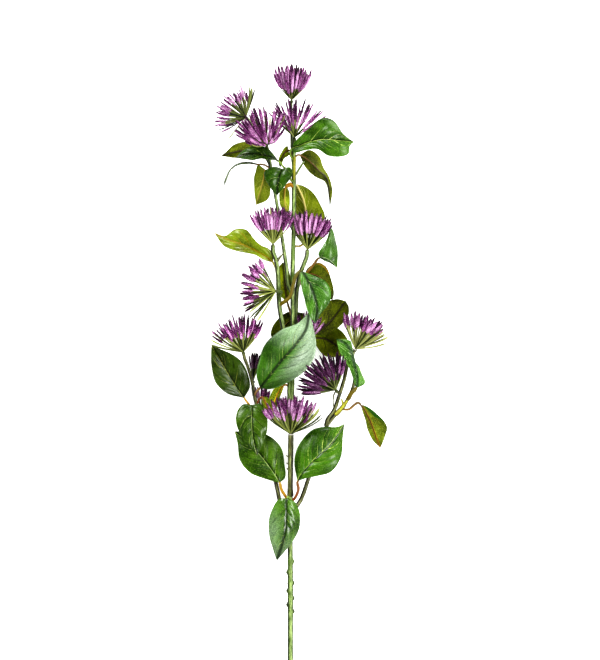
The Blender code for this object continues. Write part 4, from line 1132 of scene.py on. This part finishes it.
def add_spike(form, start, direction, length, bloom, bare, draw):
    """Adds one spike: a thin filament that swells into a long beaded club with a blunt end."""
    side = direction.orthogonal().normalized()
    raised = sideways_of(direction, bloom).z / math.sin(math.radians(bloom.fan))
    turn = Matrix.Rotation(draw.uniform(0, 2 * math.pi), 3, direction)
    bend = (turn @ side) * draw.uniform(0.2, 1.0) * SPIKE_BEND
    first_club = bloom.club + draw.uniform(-CLUB_UNEVEN, CLUB_UNEVEN)
    if bare:
        shares = even(BARE_ROWS)
    else:
        shares = np.concatenate([np.linspace(0.0, first_club, FILAMENT_ROWS, endpoint=False),
                                 np.linspace(first_club, 1.0, SPIKE_ROWS - FILAMENT_ROWS)])
    middle = np.array([spike_point(start, direction, length, bloom, share) for share in shares])
    middle = middle + np.array(bend)[None, :] * (shares ** 2)[:, None]
    filament = FILAMENT_RADIUS * draw.uniform(0.8, 1.2) * (bare if bare else 1.0)
    if bare:
        radius = np.interp(shares, [0.0, 0.85, 1.0], [filament, filament * 1.3, 0.12])
        sides = BARE_SIDES
    else:
        widest = CLUB_RADIUS * bloom.thick * draw.uniform(0.82, 1.12)
        spots = [0.0, first_club - 0.02, first_club + 0.04, first_club + 0.14, 0.80, 0.93, 1.0]
        thick = np.interp(shares, spots, [filament, filament, widest * 0.85, widest, widest * 0.90,
                                          widest * 0.72, 0.35])
        thick = thick * np.interp(shares, [0.5, 0.8, 1.0], [1.0, bloom.taper, bloom.taper])
        sides = SPIKE_SIDES
        lumps = np.array([[draw.gauss(0.0, 1.0) for _ in range(sides)] for _ in shares])
        on_club = np.interp(shares, [first_club, first_club + 0.05, 0.96, 1.0], [0.0, 1.0, 0.8, 0.0])
        radius = thick[:, None] * (1 + CLUB_LUMPS * np.clip(lumps, -1.6, 1.6) * on_club[:, None])
    rows = len(shares)
    values = np.zeros((rows, sides + 1, 2))
    # Each spike's own value: random, plus painted shade that makes spikes lower in the bloom darker and
    # higher ones lighter
    values[:, :, 0] = 0.5 + 0.28 * raised + draw.uniform(-0.42, 0.42)
    values[:, :, 1] = shares[:, None]
    first_face = len(form.faces)
    form.add_tube(middle, radius, 0, values, np.array(side))
    if not bare:
        club_row = int(np.searchsorted(shares, first_club))
        for face in range(first_face + club_row * sides, first_face + (rows - 1) * sides):
            form.kinds[face] = 1
        form.kinds[-1] = 1


def add_urn(form, base, axis, ring):
    """Adds the small scaled urn that the spikes stand in, and on some the rings round it."""
    def on_axis(distances):
        return np.array(base)[None, :] + np.array(axis)[None, :] * distances[:, None]

    shares = even(URN_ROWS)
    thick = np.interp(shares, [0.0, 0.2, 0.55, 0.85, 1.0], [1.3, 1.6, URN_RADIUS, 1.5, 0.7])
    scales = np.sin(4 * angles_round(URN_SIDES)[None, :] + math.pi * (np.arange(URN_ROWS)[:, None] // 2))
    form.add_tube(on_axis(shares * URN_HEIGHT - 0.6), thick[:, None] + URN_SCALES * scales, 2,
                  tube_map(URN_ROWS, URN_SIDES, 0.3))
    if ring:
        thick = np.array([2.0, 2.75, 2.9, 2.75, 2.0])
        form.add_tube(on_axis(even(len(thick)) * 1.5 + 0.9), thick, 3, tube_map(len(thick), URN_SIDES, 0.3))


def make_bloom(number, name, bloom, tree, others):
    """Builds one bloom: beaded spikes that stand out of a small urn, each bent clear of the other pieces."""
    draw = random.Random(SEED + number)
    base = place(bloom.base)
    centre = base + bloom.axis * CORE_HALF_LENGTH
    form = Form()
    spots = []
    wanted = []
    for direction, outness in spike_directions(bloom, draw):
        flat = sideways_of(direction, bloom)
        side_on = flat.normalized().dot(compass(bloom.bare[0])) if flat.length > 0.01 else 0.0
        toward = outness > 0.55 and side_on > 0.45 and draw.random() < bloom.bare[1]
        wanted.append((direction, float(toward or draw.random() < BARE_ANYWHERE), 1.0))
    for degrees, stout in bloom.strays:
        wanted.append((compass(degrees, 0.1).normalized(), stout, bloom.stray_reach))
    for direction, bare, reach in wanted:
        length = reach * bloom.length * (1.0 - draw.uniform(0.0, SPIKE_SHORTER)) - CORE_HALF_LENGTH
        for way in clear_ways(direction, bloom.axis):
            if is_clear(centre, way, length, bloom, tree, others):
                add_spike(form, centre + way * SPIKE_ROOT, way, length - SPIKE_ROOT, bloom, bare, draw)
                spots += [spike_point(centre, way, length, bloom, step / 20) * MM for step in range(5, 21)]
                break
    add_urn(form, base, bloom.axis, bloom.ring)
    materials = [filament_material(name + "_filament", *FILAMENT_LOOKS[bloom.filament]),
                 club_material(name + "_club", bloom.bright, bloom.deep, bloom.fade),
                 stalk_material(name + "_urn", *STALK_LOOKS["urn"]),
                 stalk_material(name + "_ring", *STALK_LOOKS["ring"])]
    piece = form.finish(name + "_spikes", materials, ["spike", "blade"])
    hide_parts(name)
    others.data += spots
    others.settle()


def tree_of_solids(names):
    """Makes one search tree of the plain solids of some nodes, to measure distances from them."""
    points, faces = [], []
    for name in names:
        mesh = frame["nodes"][name].data
        faces += [tuple(corner + len(points) for corner in face.vertices) for face in mesh.polygons]
        points += [vertex.co.copy() for vertex in mesh.vertices]
    return BVHTree.FromPolygons(points, faces)


def make_camera():
    """Looks straight down, as the photo looks at the spray."""
    camera = add_object("camera", bpy.data.cameras.new("camera"))
    camera.location = (-MIDDLE[0] * MM, -MIDDLE[1] * MM, CAMERA_HEIGHT + PLANT_HEIGHT)
    camera.data.sensor_width = SENSOR
    camera.data.lens = SENSOR * CAMERA_HEIGHT / VIEW_HEIGHT
    camera.data.clip_end = 3 * CAMERA_HEIGHT
    bpy.context.scene.camera = camera


def make_lights():
    """Adds the square soft lights and the pale studio round them, brighter near the table."""
    for name, (spot, aim, size, power) in LIGHTS.items():
        light = add_object(name, bpy.data.lights.new(name, "AREA"))
        light.data.size = size
        light.data.energy = power
        light.location = spot
        light.rotation_euler = (Vector(aim) - Vector(spot)).to_track_quat("-Z", "Y").to_euler()
    world = bpy.data.worlds.new("studio")
    world.use_nodes = True
    tree = world.node_tree
    toward = add_node(tree, "ShaderNodeTexCoord", {}, "Generated")
    height = add_node(tree, "ShaderNodeSeparateXYZ", {0: toward}, 2)
    put(tint(WHITE), tree.nodes["Background"].inputs["Color"])
    put(height.fade(0.15, 0.95, 0.62, 0.10), tree.nodes["Background"].inputs["Strength"])
    bpy.context.scene.world = world
    bpy.context.scene.view_settings.view_transform = "Standard"
    bpy.context.scene.view_settings.look = "High Contrast"


def make_floor():
    """Lays the pale floor."""
    floor = add_object("floor", bpy.data.meshes.new("floor"))
    corners = [(-FLOOR_HALF, -FLOOR_HALF, 0), (FLOOR_HALF, -FLOOR_HALF, 0), (FLOOR_HALF, FLOOR_HALF, 0),
               (-FLOOR_HALF, FLOOR_HALF, 0)]
    floor.data.from_pydata(corners, [], [(0, 1, 2, 3)])
    floor.location.z = -FLOOR_DEPTH
    floor.data.materials.append(Paint("floor", Roughness=0.8, Base_Color=tint(FLOOR_TONE),
                                      Emission_Color=tint(WHITE), Emission_Strength=0.42).material)


def main():
    for name, stem in STEMS.items():
        make_stem(name, stem)
    for number, (name, leaf) in enumerate(LEAVES.items()):
        make_leaf(number, name, leaf)
    tree = tree_of_solids([*STEMS, *LEAVES])
    others = Spots()
    for number, (name, bloom) in enumerate(BLOOMS.items()):
        make_bloom(number, name, bloom, tree, others)
    make_floor()
    make_lights()
    make_camera()


main()
